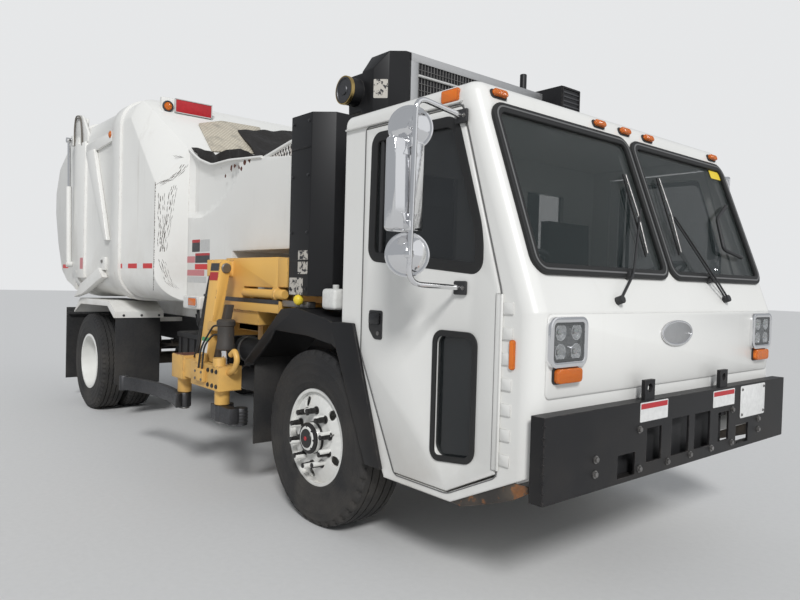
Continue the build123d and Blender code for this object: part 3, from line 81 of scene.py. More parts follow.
def applyAll(obj):
    takeUp(obj)
    for modifier in list(obj.modifiers):
        bpy.ops.object.modifier_apply(modifier=modifier.name)
    return obj


def smooth(obj, angle=35):
    takeUp(obj)
    bpy.ops.object.shade_smooth_by_angle(angle=math.radians(angle))
    return obj


def roundEdges(obj, width, segments=2, angle=30, clamp=True):
    bevel = obj.modifiers.new("rounding", "BEVEL")
    bevel.width = width
    bevel.segments = segments
    bevel.limit_method = "ANGLE"
    bevel.angle_limit = math.radians(angle)
    bevel.use_clamp_overlap = clamp
    applyAll(obj)
    return smooth(obj)


def thicken(obj, depth, offset):
    wall = obj.modifiers.new("wall", "SOLIDIFY")
    wall.thickness = depth
    wall.offset = offset
    return applyAll(obj)


def joinUp(pieces, name):
    bpy.ops.object.select_all(action="DESELECT")
    for piece in pieces:
        piece.select_set(True)
    bpy.context.view_layer.objects.active = pieces[0]
    if len(pieces) > 1:
        bpy.ops.object.join()
    pieces[0].name = name
    return pieces[0]


def copyOf(obj, move=(0, 0, 0), turn=None):
    twin = bpy.data.objects.new(obj.name + "Copy", obj.data.copy())
    bpy.context.scene.collection.objects.link(twin)
    if turn is not None:
        twin.data.transform(turn)
    twin.data.transform(Matrix.Translation(move))
    return twin


def outwards(obj):
    chooseAll(obj)
    bpy.ops.mesh.remove_doubles(threshold=0.00005)
    bpy.ops.mesh.normals_make_consistent(inside=False)
    leaveEdit()
    return obj


def mirrored(obj):  # the same piece on the truck's other side
    twin = copyOf(obj, turn=Matrix.Scale(-1, 4, (0, 1, 0)))
    chooseAll(twin)
    bpy.ops.mesh.flip_normals()
    leaveEdit()
    return twin


def give(obj, material, body, name=None):
    if name:
        obj.name = name
    if material:
        obj.data.materials.clear()
        obj.data.materials.append(material)
    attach(obj, body)
    return obj


# Starting shapes

def addBlock(name, low, high, bevel=0.004, segments=2):
    low, high = Vector(low), Vector(high)
    bpy.ops.object.select_all(action="DESELECT")
    bpy.ops.mesh.primitive_cube_add(size=1, location=(low + high) / 2)
    obj = bpy.context.active_object
    obj.name = name
    obj.scale = high - low
    settle(obj)
    return roundEdges(obj, bevel, segments) if bevel else obj


def addRod(name, start, end, radius, sides=20, bevel=0, endRadius=None):
    start, end = Vector(start), Vector(end)
    along = end - start
    bpy.ops.object.select_all(action="DESELECT")
    bpy.ops.mesh.primitive_cone_add(
        vertices=sides, radius1=radius, radius2=radius if endRadius is None else endRadius,
        depth=along.length, location=(start + end) / 2, rotation=along.to_track_quat("Z", "Y").to_euler())
    obj = bpy.context.active_object
    obj.name = name
    settle(obj)
    return roundEdges(obj, bevel) if bevel else smooth(obj)


def bend(points, radius, steps=4):  # the same path with its corners rounded
    points = [Vector(p) for p in points]
    path = [points[0]]
    for before, here, after in zip(points, points[1:], points[2:]):
        reach = min(radius, (here - before).length * 0.45, (after - here).length * 0.45)
        start = here + (before - here).normalized() * reach
        end = here + (after - here).normalized() * reach
        for i in range(steps + 1):
            t = i / steps
            path.append(start * (1 - t) ** 2 + here * 2 * t * (1 - t) + end * t ** 2)
    return path + [points[-1]]


def addTube(name, points, radius, sides=12):  # a pipe through the points, with mitred corners
    points = [Vector(p) for p in points]
    ways = [(b - a).normalized() for a, b in zip(points, points[1:])]
    planes = [(a + b).normalized() for a, b in zip(ways, ways[1:])] + [ways[-1]]
    bpy.ops.object.select_all(action="DESELECT")
    bpy.ops.mesh.primitive_circle_add(vertices=sides, radius=radius, fill_type="NGON", location=points[0],
                                      rotation=ways[0].to_track_quat("Z", "Y").to_euler())
    obj = bpy.context.active_object
    obj.name = name
    settle(obj)
    chooseAll(obj)
    for here, way, plane in zip(points[1:], ways, planes):
        bpy.ops.mesh.extrude_region_move(TRANSFORM_OT_translate={"value": (0, 0, 0)})
        leaveEdit()
        for v in [v for v in obj.data.vertices if v.select]:
            v.co += way * ((here - v.co).dot(plane) / way.dot(plane))
        bpy.ops.object.mode_set(mode="EDIT")
    leaveEdit()
    outwards(obj)
    return smooth(obj, 50)


def addOutline(name, points):  # one face through the points
    bpy.ops.object.select_all(action="DESELECT")
    bpy.ops.mesh.primitive_circle_add(vertices=len(points), radius=1, fill_type="NGON")
    obj = bpy.context.active_object
    obj.name = name
    settle(obj)
    for vertex, point in zip(obj.data.vertices, points):
        vertex.co = point
    obj.data.update()
    return obj


def pushOut(obj, way, bevel):  # a face becomes a solid
    chooseAll(obj)
    bpy.ops.mesh.extrude_region_move(TRANSFORM_OT_translate={"value": Vector(way)})
    leaveEdit()
    outwards(obj)
    return roundEdges(obj, bevel, 2) if bevel else smooth(obj)


def roundCorners(obj, radius):
    takeUp(obj)
    bpy.ops.object.mode_set(mode="EDIT")
    bpy.ops.mesh.select_mode(type="VERT")
    bpy.ops.mesh.select_all(action="SELECT")
    bpy.ops.mesh.bevel(offset=radius, segments=6, affect="VERTICES")
    leaveEdit()
    return obj


def cornersOf(points):  # two opposite corners stand for a rectangle
    if len(points) > 2:
        return points
    (left, low), (right, high) = points
    return [(left, low), (right, low), (right, high), (left, high)]


def frameAt(origin, across, up):  # x runs across the surface, y up it, z out of it
    across, up = Vector(across).normalized(), Vector(up).normalized()
    return Matrix.Translation(origin) @ Matrix((across, up, across.cross(up))).transposed().to_4x4()


def addPlate(name, points, depth, at, corner=0, bevel=0.002, low=0.0):
    obj = addOutline(name, [(x, y, low) for x, y in cornersOf(points)])
    if corner:
        roundCorners(obj, corner)
    pushOut(obj, (0, 0, depth), bevel)
    obj.data.transform(at)
    return obj


def addFrame(name, points, width, depth, at, corner=0, bevel=0.002, low=0.0):  # a rim round an opening
    obj = addOutline(name, [(x, y, low) for x, y in cornersOf(points)])
    if corner:
        roundCorners(obj, corner)
    chooseAll(obj)
    bpy.ops.mesh.select_mode(type="FACE")
    bpy.ops.mesh.inset(thickness=width, depth=0)
    bpy.ops.mesh.delete(type="FACE")
    bpy.ops.mesh.select_all(action="SELECT")
    bpy.ops.mesh.extrude_region_move(TRANSFORM_OT_translate={"value": (0, 0, depth)})
    leaveEdit()
    outwards(obj)
    if bevel:
        roundEdges(obj, bevel)
    obj.data.transform(at)
    return obj


def addBolts(name, places, size, at):  # hexagon heads on washers, standing out of a surface
    washer = addRod(name, (0, 0, -0.001), (0, 0, size * 0.3), size * 1.4, 18)
    head = addRod(name, (0, 0, size * 0.25), (0, 0, size), size, 6, size * 0.12)
    first = joinUp([washer, head], name)
    copies = [copyOf(first, (x, y, 0)) for x, y in places[1:]]
    first.data.transform(Matrix.Translation((*places[0], 0)))
    joinUp([first] + copies, name)
    first.data.transform(at)
    return first


def addTurned(name, profile, centre, axis=(0, 1, 0), steps=48, angle=40):
    centre, axis = Vector(centre), Vector(axis).normalized()
    radial = Vector((0, 0, 1)) if abs(axis.z) < 0.9 else Vector((1, 0, 0))
    bpy.ops.object.select_all(action="DESELECT")
    bpy.ops.mesh.primitive_circle_add(vertices=len(profile), radius=1)
    obj = bpy.context.active_object
    obj.name = name
    settle(obj)
    for vertex, (radius, along) in zip(obj.data.vertices, profile):
        vertex.co = centre + radial * radius + axis * along
    chooseAll(obj)
    bpy.ops.mesh.spin(steps=steps, angle=math.tau, center=centre, axis=axis)
    bpy.ops.mesh.select_all(action="SELECT")
    bpy.ops.mesh.remove_doubles(threshold=0.0001)
    bpy.ops.mesh.normals_make_consistent(inside=False)
    leaveEdit()
    return smooth(obj, angle)


def dressed(node, name, bevel):  # a clean copy of a node, edges rounded
    angle = 28
    source = frame["nodes"][node]
    obj = bpy.data.objects.new(name, source.data.copy())
    bpy.context.scene.collection.objects.link(obj)
    chooseAll(obj)
    bpy.ops.mesh.customdata_custom_splitnormals_clear()
    bpy.ops.mesh.remove_doubles(threshold=0.00005)
    bpy.ops.mesh.dissolve_limited(angle_limit=math.radians(0.6))
    leaveEdit()
    if bevel:
        roundEdges(obj, bevel, 2, angle, clamp=False)
    else:
        smooth(obj, angle)
    return obj


def sliceUp(obj, axis, low, high, step):  # cuts the mesh into strips
    chooseAll(obj)
    normal = [0, 0, 0]
    normal[axis] = 1
    place = low + step
    while place < high - step / 2:
        point = [0, 0, 0]
        point[axis] = place
        bpy.ops.mesh.select_all(action="SELECT")
        bpy.ops.mesh.bisect(plane_co=point, plane_no=normal)
        place += step
    leaveEdit()
    return obj


# Shader node groups, each a shared effect; a noise has its scale, detail, roughness and stretch

effectSet = {
    "wear": {"edge": (0.995, 0.86), "patchNoise": (5, 0.65), "patch": (0.42, 0.62)},
    "grime": {"blotchNoise": (2.6, 6, 0.6), "blotch": (0.32, 0.72), "drip": (0.55, 0.78),
              "dripNoise": (9.0, 4, 0.6, (1.0, 1.0, 0.07)), "gapNoise": (1.7, 3), "gap": (0.4, 0.65)},
    "grain": {"fineNoise": (4, 0.6), "broadNoise": (1.9, 2, 0.4)},
    "rust": {"spotNoise": (8, 0.7), "spots": 0.6, "patchNoise": (1.3, 2), "patches": 0.4, "edge": 0.72,
             "reach": 0.4, "soft": 0.05, "toneNoise": (34.0, 5),
             "tones": ((0.11, 0.045, 0.02), (0.36, 0.16, 0.06))},
}


def newGroup(name, inputs, outputs):
    group = bpy.data.node_groups.new(name, "ShaderNodeTree")
    for socketName, kind, value in inputs:
        socket = group.interface.new_socket(socketName, in_out="INPUT", socket_type=kind)
        if value is not None:
            socket.default_value = value
    for socketName, kind in outputs:
        group.interface.new_socket(socketName, in_out="OUTPUT", socket_type=kind)
    return group, group.nodes.new("NodeGroupInput"), group.nodes.new("NodeGroupOutput")


def link(tree, a, b):
    tree.links.new(a, b)


def objectPoint(tree):
    return tree.nodes.new("ShaderNodeTexCoord").outputs["Object"]


def noiseOf(tree, point, scale, detail=4, roughness=0.55, stretch=None):
    if stretch is not None:
        mapping = tree.nodes.new("ShaderNodeMapping")
        mapping.inputs["Scale"].default_value = stretch
        link(tree, point, mapping.inputs["Vector"])
        point = mapping.outputs["Vector"]
    texture = tree.nodes.new("ShaderNodeTexNoise")
    texture.inputs["Detail"].default_value = detail
    texture.inputs["Roughness"].default_value = roughness
    if hasattr(scale, "links"):
        link(tree, scale, texture.inputs["Scale"])
    else:
        texture.inputs["Scale"].default_value = scale
    link(tree, point, texture.inputs["Vector"])
    return texture.outputs["Fac"]


def rangeOf(tree, value, fromLow, fromHigh, toLow=0.0, toHigh=1.0):
    node = tree.nodes.new("ShaderNodeMapRange")
    node.interpolation_type = "SMOOTHSTEP"
    link(tree, value, node.inputs["Value"])
    for socket, number in zip(("From Min", "From Max", "To Min", "To Max"),
                              (fromLow, fromHigh, toLow, toHigh)):
        if hasattr(number, "links"):
            link(tree, number, node.inputs[socket])
        else:
            node.inputs[socket].default_value = number
    return node.outputs["Result"]


def mathOf(tree, operation, a, b=None):
    node = tree.nodes.new("ShaderNodeMath")
    node.operation = operation
    node.use_clamp = operation in ("ADD", "MULTIPLY", "SUBTRACT")
    for socket, value in zip(node.inputs, (a, b)):
        if value is None:
            continue
        if hasattr(value, "links"):
            link(tree, value, socket)
        else:
            socket.default_value = value
    return node.outputs["Value"]


def mixOf(tree, mask, a, b, blend="MIX"):
    node = tree.nodes.new("ShaderNodeMix")
    node.data_type = "RGBA"
    node.blend_type = blend
    sockets = [s for s in node.inputs if s.enabled]
    for socket, value in zip(sockets, (mask, a, b)):
        if hasattr(value, "links"):
            link(tree, value, socket)
        else:
            socket.default_value = value if not isinstance(value, tuple) else (*value, 1)[:4]
    return [s for s in node.outputs if s.enabled][0]


def buildWearGroup(v):  # worn edges, from how far the rounded normal leaves the plain one
    group, into, out = newGroup(
        "edgeWear", [("Width", "NodeSocketFloat", 0.006), ("Amount", "NodeSocketFloat", 0.5),
                     ("Breakup", "NodeSocketFloat", 18.0)], [("Mask", "NodeSocketFloat")])
    round_ = group.nodes.new("ShaderNodeBevel")
    round_.samples = 4
    link(group, into.outputs["Width"], round_.inputs["Radius"])
    plain = group.nodes.new("ShaderNodeNewGeometry")
    dot = group.nodes.new("ShaderNodeVectorMath")
    dot.operation = "DOT_PRODUCT"
    link(group, round_.outputs["Normal"], dot.inputs[0])
    link(group, plain.outputs["Normal"], dot.inputs[1])
    edge = rangeOf(group, dot.outputs["Value"], *v["edge"])
    breakup = noiseOf(group, objectPoint(group), into.outputs["Breakup"], *v["patchNoise"])
    patchy = rangeOf(group, breakup, *v["patch"])
    mask = mathOf(group, "MULTIPLY", mathOf(group, "MULTIPLY", edge, patchy), into.outputs["Amount"])
    link(group, mask, out.inputs["Mask"])
    return group


def buildGrimeGroup(v):  # dust low down, streaks that run down, and blotches
    group, into, out = newGroup(
        "grime", [("Low", "NodeSocketFloat", 0.4), ("High", "NodeSocketFloat", 1.6),
                  ("Amount", "NodeSocketFloat", 0.5), ("Streaks", "NodeSocketFloat", 0.3)],
        [("Mask", "NodeSocketFloat"), ("Streak", "NodeSocketFloat")])
    point = objectPoint(group)
    split = group.nodes.new("ShaderNodeSeparateXYZ")
    link(group, point, split.inputs["Vector"])
    height = rangeOf(group, split.outputs["Z"], into.outputs["High"], into.outputs["Low"])
    blotch = rangeOf(group, noiseOf(group, point, *v["blotchNoise"]), *v["blotch"])
    low = mathOf(group, "MULTIPLY", mathOf(group, "MULTIPLY", height, blotch), into.outputs["Amount"])
    drip = rangeOf(group, noiseOf(group, point, *v["dripNoise"]), *v["drip"])
    broken = rangeOf(group, noiseOf(group, point, *v["gapNoise"]), *v["gap"])
    streak = mathOf(group, "MULTIPLY", mathOf(group, "MULTIPLY", drip, broken), into.outputs["Streaks"])
    link(group, mathOf(group, "MAXIMUM", low, streak), out.inputs["Mask"])
    link(group, streak, out.inputs["Streak"])
    return group


def buildGrainGroup(v):  # fine orange peel or cast grain
    group, into, out = newGroup(
        "surfaceGrain", [("Scale", "NodeSocketFloat", 120.0), ("Height", "NodeSocketFloat", 0.1),
                         ("Wave", "NodeSocketFloat", 0.0)],
        [("Height", "NodeSocketFloat"), ("Grain", "NodeSocketFloat")])
    point = objectPoint(group)
    fine = noiseOf(group, point, into.outputs["Scale"], *v["fineNoise"])
    broad = noiseOf(group, point, *v["broadNoise"])
    total = group.nodes.new("ShaderNodeMath")
    total.operation = "MULTIPLY_ADD"
    link(group, fine, total.inputs[0])
    link(group, into.outputs["Height"], total.inputs[1])
    link(group, mathOf(group, "MULTIPLY", broad, into.outputs["Wave"]), total.inputs[2])
    link(group, total.outputs["Value"], out.inputs["Height"])
    link(group, fine, out.inputs["Grain"])
    return group


def buildRustGroup(v):  # rust spots that gather in patches
    group, into, out = newGroup(
        "rustSpots", [("Scale", "NodeSocketFloat", 9.0), ("Amount", "NodeSocketFloat", 0.3)],
        [("Mask", "NodeSocketFloat"), ("Color", "NodeSocketColor")])
    point = objectPoint(group)
    fine = noiseOf(group, point, into.outputs["Scale"], *v["spotNoise"])
    spots = mathOf(group, "MULTIPLY", fine, v["spots"])
    patches = mathOf(group, "MULTIPLY", noiseOf(group, point, *v["patchNoise"]), v["patches"])
    both = mathOf(group, "ADD", spots, patches)
    edge = mathOf(group, "SUBTRACT", v["edge"], mathOf(group, "MULTIPLY", into.outputs["Amount"], v["reach"]))
    link(group, rangeOf(group, both, edge, mathOf(group, "ADD", edge, v["soft"])), out.inputs["Mask"])
    tone = noiseOf(group, point, *v["toneNoise"])
    link(group, mixOf(group, tone, *v["tones"]), out.inputs["Color"])
    return group


groups = {"wear": buildWearGroup(effectSet["wear"]), "grime": buildGrimeGroup(effectSet["grime"]),
          "grain": buildGrainGroup(effectSet["grain"]), "rust": buildRustGroup(effectSet["rust"])}


def useGroup(tree, key, **values):
    node = tree.nodes.new("ShaderNodeGroup")
    node.node_tree = groups[key]
    for name, value in values.items():
        node.inputs[name].default_value = value
    return node


def newMaterial(name):
    material = bpy.data.materials.new(name)
    material.use_nodes = True
    tree = material.node_tree
    shader = tree.nodes["Principled BSDF"]
    return material, tree, shader


def addBump(tree, shader, height, strength, distance, soft=0.0):  # soft rounds the edges in shading
    bump = tree.nodes.new("ShaderNodeBump")
    if soft:
        rounded = tree.nodes.new("ShaderNodeBevel")
        rounded.samples = 4
        rounded.inputs["Radius"].default_value = soft
        link(tree, rounded.outputs["Normal"], bump.inputs["Normal"])
    bump.inputs["Strength"].default_value = strength
    bump.inputs["Distance"].default_value = distance
    link(tree, height, bump.inputs["Height"])
    link(tree, bump.outputs["Normal"], shader.inputs["Normal"])


def paintOf(name, values):  # paint that fades, gathers dirt, chips and rusts
    material, tree, shader = newMaterial(name)
    wear = useGroup(tree, "wear", Width=values["wearWidth"], Amount=values["wear"], Breakup=values["breakup"])
    grime = useGroup(tree, "grime", Low=values["dirtLow"], High=values["dirtHigh"], Amount=values["dirt"],
                     Streaks=values["streaks"])
    rust = useGroup(tree, "rust", Scale=values["rustScale"], Amount=values["rust"])
    grain = useGroup(tree, "grain", Scale=values["grainScale"], Height=values["grainHeight"],
                     Wave=values["wave"])
    fade = noiseOf(tree, objectPoint(tree), 1.1, 3)
    colour = values["colour"]
    faded = mixOf(tree, rangeOf(tree, fade, 0.3, 0.7), colour, tuple(c * values["fade"] for c in colour))
    dirty = mixOf(tree, grime.outputs["Mask"], faded, values["dirtColour"])
    chipped = mixOf(tree, wear.outputs["Mask"], dirty, values["under"])
    final = mixOf(tree, rust.outputs["Mask"], chipped, rust.outputs["Color"])
    link(tree, final, shader.inputs["Base Color"])
    dull = mathOf(tree, "MAXIMUM", mathOf(tree, "MAXIMUM", grime.outputs["Mask"], wear.outputs["Mask"]),
                  rust.outputs["Mask"])
    gloss = mathOf(tree, "ADD", rangeOf(tree, dull, 0.0, 1.0, values["roughness"], 0.8),
                   mathOf(tree, "MULTIPLY", grain.outputs["Grain"], values["roughVary"]))
    link(tree, gloss, shader.inputs["Roughness"])
    shader.inputs["Coat Weight"].default_value = values["coat"]
    shader.inputs["Specular IOR Level"].default_value = values["shine"]
    shader.inputs["Coat Roughness"].default_value = 0.12
    addBump(tree, shader, grain.outputs["Height"], values["bump"], 0.004, values["soft"])
    return material


plainPaint = {"wearWidth": 0.006, "wear": 0.5, "breakup": 18.0, "dirtLow": 0.35, "dirtHigh": 1.3,
              "dirt": 0.5, "streaks": 0.12, "rustScale": 9.0, "rust": 0.0, "grainScale": 160.0,
              "grainHeight": 0.05, "wave": 0.0, "fade": 0.96, "dirtColour": (0.36, 0.31, 0.25),
              "roughness": 0.28, "roughVary": 0.08, "coat": 0.35, "bump": 0.25, "soft": 0.0,
              "shine": 0.5}

paints = {
    "cabPaint": {
        "colour": (0.8, 0.795, 0.765), "under": (0.3, 0.27, 0.24), "wear": 0.35, "dirt": 0.35,
        "streaks": 0.08, "dirtHigh": 1.0, "soft": 0.012},
    "bodyPaint": {
        "colour": (0.79, 0.785, 0.755), "under": (0.25, 0.15, 0.1), "wear": 0.8, "dirtLow": 1.0,
        "dirtHigh": 2.3, "dirt": 0.35, "streaks": 0.34, "rust": 0.16, "wave": 0.9, "roughness": 0.38,
        "coat": 0.15, "bump": 0.4},
    "blackPaint": {
        "colour": (0.01, 0.01, 0.011), "under": (0.16, 0.14, 0.12), "dirtColour": (0.06, 0.052, 0.044),
        "dirt": 0.35, "streaks": 0.15, "dirtHigh": 1.5, "fade": 1.35, "roughness": 0.42, "coat": 0.0,
        "shine": 0.3},
    "bumperPaint": {
        "colour": (0.009, 0.009, 0.01), "under": (0.14, 0.12, 0.11), "dirtColour": (0.06, 0.053, 0.046),
        "dirt": 0.4, "streaks": 0.2, "dirtHigh": 1.2, "fade": 1.3, "roughness": 0.42, "coat": 0.0,
        "shine": 0.3, "grainScale": 420.0, "grainHeight": 0.25, "bump": 0.35, "soft": 0.006},
    "yellowPaint": {
        "colour": (0.8, 0.47, 0.12), "under": (0.16, 0.1, 0.07), "dirtColour": (0.2, 0.13, 0.07),
        "wear": 1.0, "wearWidth": 0.012, "breakup": 11.0, "dirtLow": 0.5, "dirtHigh": 1.5, "dirt": 0.6,
        "streaks": 0.4, "rust": 0.16, "fade": 0.88, "roughness": 0.45, "coat": 0.05, "bump": 0.5},
    "castMetal": {
        "colour": (0.035, 0.032, 0.03), "under": (0.18, 0.12, 0.08), "dirtColour": (0.14, 0.11, 0.08),
        "wear": 0.7, "dirt": 0.8, "dirtHigh": 1.6, "rust": 0.35, "roughness": 0.62, "coat": 0.0,
        "grainScale": 90.0, "grainHeight": 0.5, "bump": 0.6},
    "wheelPaint": {
        "colour": (0.78, 0.78, 0.75), "under": (0.22, 0.13, 0.08), "wear": 0.7, "dirtLow": 0.15,
        "dirtHigh": 0.9, "dirt": 0.3, "rust": 0.12, "roughness": 0.36},
}
materials = {name: paintOf(name, {**plainPaint, **values}) for name, values in paints.items()}


def metalOf(name, colour, roughness, vary, dirt):
    material, tree, shader = newMaterial(name)
    grime = useGroup(tree, "grime", Low=0.3, High=3.4, Amount=dirt, Streaks=dirt * 0.5)
    scratch = noiseOf(tree, objectPoint(tree), 70.0, 5, 0.65)
    link(tree, mixOf(tree, grime.outputs["Mask"], colour, tuple(c * 0.35 for c in colour)),
         shader.inputs["Base Color"])
    link(tree, rangeOf(tree, scratch, 0.3, 0.7, roughness, roughness + vary), shader.inputs["Roughness"])
    shader.inputs["Metallic"].default_value = 1.0
    addBump(tree, shader, scratch, 0.12, 0.002)
    return material


def rubberOf(name, colour, roughness, scale, dust):
    material, tree, shader = newMaterial(name)
    grime = useGroup(tree, "grime", Low=0.1, High=1.5, Amount=dust, Streaks=dust * 0.4)
    fine = noiseOf(tree, objectPoint(tree), scale, 5, 0.6)
    link(tree, mixOf(tree, grime.outputs["Mask"], colour, (0.105, 0.093, 0.078)), shader.inputs["Base Color"])
    link(tree, rangeOf(tree, fine, 0.3, 0.7, roughness, roughness + 0.18), shader.inputs["Roughness"])
    addBump(tree, shader, fine, 0.3, 0.002)
    return material


def lensOf(name, colour, ribs):
    material, tree, shader = newMaterial(name)
    wave = tree.nodes.new("ShaderNodeTexWave")
    wave.bands_direction = "Y"
    wave.inputs["Scale"].default_value = ribs
    link(tree, objectPoint(tree), wave.inputs["Vector"])
    deeper = tuple(c * 0.6 for c in colour)
    link(tree, mixOf(tree, wave.outputs["Fac"], colour, deeper), shader.inputs["Base Color"])
    link(tree, rangeOf(tree, wave.outputs["Fac"], 0.0, 1.0, 0.12, 0.24), shader.inputs["Roughness"])
    shader.inputs["Subsurface Weight"].default_value = 0.15
    addBump(tree, shader, wave.outputs["Fac"], 0.5, 0.003)
    return material


def glassOf(name, tint, roughness, seeThrough):
    material, tree, shader = newMaterial(name)
    smear = noiseOf(tree, objectPoint(tree), 3.0, 4)
    link(tree, mixOf(tree, rangeOf(tree, smear, 0.35, 0.75), tint, tuple(c * 0.85 for c in tint)),
         shader.inputs["Base Color"])
    link(tree, rangeOf(tree, smear, 0.4, 0.8, roughness, roughness + 0.03), shader.inputs["Roughness"])
    shader.inputs["Alpha"].default_value = 1 - seeThrough
    shader.inputs["Specular IOR Level"].default_value = 0.5
    shader.inputs["Coat Weight"].default_value = 0.35
    shader.inputs["Coat Roughness"].default_value = 0.02
    return material


def plasticOf(name, colour, roughness, scale):
    material, tree, shader = newMaterial(name)
    fine = noiseOf(tree, objectPoint(tree), scale, 3)
    link(tree, mixOf(tree, fine, colour, tuple(c * 1.5 for c in colour)), shader.inputs["Base Color"])
    link(tree, rangeOf(tree, fine, 0.3, 0.7, roughness, roughness + 0.12), shader.inputs["Roughness"])
    addBump(tree, shader, fine, 0.3, 0.001)
    return material


finishes = {
    metalOf: {  # colour, roughness, how far it varies, dirt
        "chrome": ((0.82, 0.82, 0.83), 0.05, 0.06, 0.1),
        "mirrorGlass": ((0.88, 0.89, 0.9), 0.02, 0.02, 0.0),
        "bareSteel": ((0.34, 0.33, 0.32), 0.34, 0.25, 0.7),
        "darkSteel": ((0.12, 0.12, 0.125), 0.42, 0.2, 0.6),
        "aluminium": ((0.56, 0.56, 0.56), 0.36, 0.16, 0.4),
        "brass": ((0.55, 0.4, 0.16), 0.3, 0.2, 0.3),
        "lampBowl": ((0.18, 0.18, 0.19), 0.14, 0.1, 0.1),
    },
    rubberOf: {  # colour, roughness, grain scale, dust
        "tyre": ((0.017, 0.017, 0.018), 0.72, 130.0, 0.45),
        "flapRubber": ((0.016, 0.016, 0.017), 0.6, 60.0, 0.4),
        "sealRubber": ((0.012, 0.012, 0.012), 0.5, 200.0, 0.1),
        "agedHose": ((0.13, 0.115, 0.095), 0.5, 60.0, 0.3),
        "tornRubber": ((0.012, 0.01, 0.009), 0.6, 24.0, 0.3),
        "hoseRubber": ((0.014, 0.014, 0.014), 0.5, 90.0, 0.25),
        "sealGrey": ((0.14, 0.14, 0.14), 0.55, 160.0, 0.2),
    },
    lensOf: {  # colour, ribs
        "amberLens": ((0.85, 0.2, 0.02), 260.0),
        "redLens": ((0.6, 0.02, 0.015), 220.0),
        "clearLens": ((0.72, 0.74, 0.74), 180.0),
    },
    glassOf: {  # tint, roughness, how clear it is
        "screenGlass": ((0.02, 0.03, 0.03), 0.02, 0.62),
        "doorGlass": ((0.015, 0.018, 0.02), 0.02, 0.35),
        "lampGlass": ((0.25, 0.26, 0.26), 0.03, 0.72),
    },
    plasticOf: {  # colour, roughness, grain scale
        "trimPlastic": ((0.02, 0.02, 0.021), 0.5, 240.0),
        "dashPlastic": ((0.06, 0.06, 0.062), 0.6, 160.0),
        "patchBlank": ((0.62, 0.62, 0.6), 0.4, 60.0),
        "tapeRed": ((0.5, 0.01, 0.012), 0.3, 300.0),
        "tapeWhite": ((0.6, 0.6, 0.6), 0.3, 300.0),
        "decalGreen": ((0.05, 0.22, 0.08), 0.4, 60.0),
        "decalGrey": ((0.42, 0.42, 0.41), 0.4, 50.0),
        "decalPink": ((0.45, 0.16, 0.17), 0.4, 70.0),
        "crackDark": ((0.03, 0.02, 0.014), 0.8, 120.0),
        "rustFlake": ((0.075, 0.022, 0.012), 0.85, 60.0),
        "hubPaint": ((0.012, 0.011, 0.011), 0.35, 90.0),
        "stickerYellow": ((0.62, 0.46, 0.03), 0.4, 90.0),
        "decalWhite": ((0.56, 0.56, 0.55), 0.36, 40.0),
        "decalRed": ((0.36, 0.012, 0.018), 0.34, 40.0),
        "decalDark": ((0.03, 0.03, 0.034), 0.4, 40.0),
        "glossBlack": ((0.006, 0.006, 0.007), 0.12, 60.0),
        "whitePlastic": ((0.55, 0.55, 0.53), 0.4, 50.0),
    },
}
for make, rows in finishes.items():
    for name, values in rows.items():
        materials[name] = make(name, *values)


def flakedOf(name, colour, under, scale, amount):  # a printed face worn through in flakes
    material, tree, shader = newMaterial(name)
    flakes = rangeOf(tree, noiseOf(tree, objectPoint(tree), scale, 6, 0.7), amount, amount + 0.03)
    link(tree, mixOf(tree, flakes, colour, under), shader.inputs["Base Color"])
    link(tree, rangeOf(tree, flakes, 0.0, 1.0, 0.45, 0.8), shader.inputs["Roughness"])
    addBump(tree, shader, flakes, 0.4, 0.001)
    return material


def meshPatchOf(name, colour, under, pitch):  # expanded metal pressed onto a sheet
    material, tree, shader = newMaterial(name)
    point = objectPoint(tree)
    waves = []
    for way in ((1.0, 1.0, 0.3), (1.0, -1.0, 0.3)):
        mapping = tree.nodes.new("ShaderNodeMapping")
        mapping.inputs["Rotation"].default_value = (0, 0, math.radians(45 if way[1] > 0 else -45))
        link(tree, point, mapping.inputs["Vector"])
        wave = tree.nodes.new("ShaderNodeTexWave")
        wave.inputs["Scale"].default_value = pitch
        wave.inputs["Distortion"].default_value = 0.8
        link(tree, mapping.outputs["Vector"], wave.inputs["Vector"])
        waves.append(wave.outputs["Fac"])
    wires = rangeOf(tree, mathOf(tree, "MAXIMUM", *waves), 0.55, 0.85)
    worn = noiseOf(tree, point, 9.0, 5)
    base = mixOf(tree, wires, under, colour)
    link(tree, mixOf(tree, rangeOf(tree, worn, 0.45, 0.75), base, tuple(c * 0.6 for c in colour)),
         shader.inputs["Base Color"])
    link(tree, rangeOf(tree, wires, 0.0, 1.0, 0.8, 0.5), shader.inputs["Roughness"])
    addBump(tree, shader, wires, 0.8, 0.004)
    return material


materials["wornLabel"] = flakedOf("wornLabel", (0.5, 0.47, 0.42), (0.03, 0.03, 0.035), 38.0, 0.53)
materials["tanMesh"] = meshPatchOf("tanMesh", (0.62, 0.57, 0.47), (0.44, 0.39, 0.3), 14.0)
print("materials built:", len(materials))
# The CAD nodes' own finishes

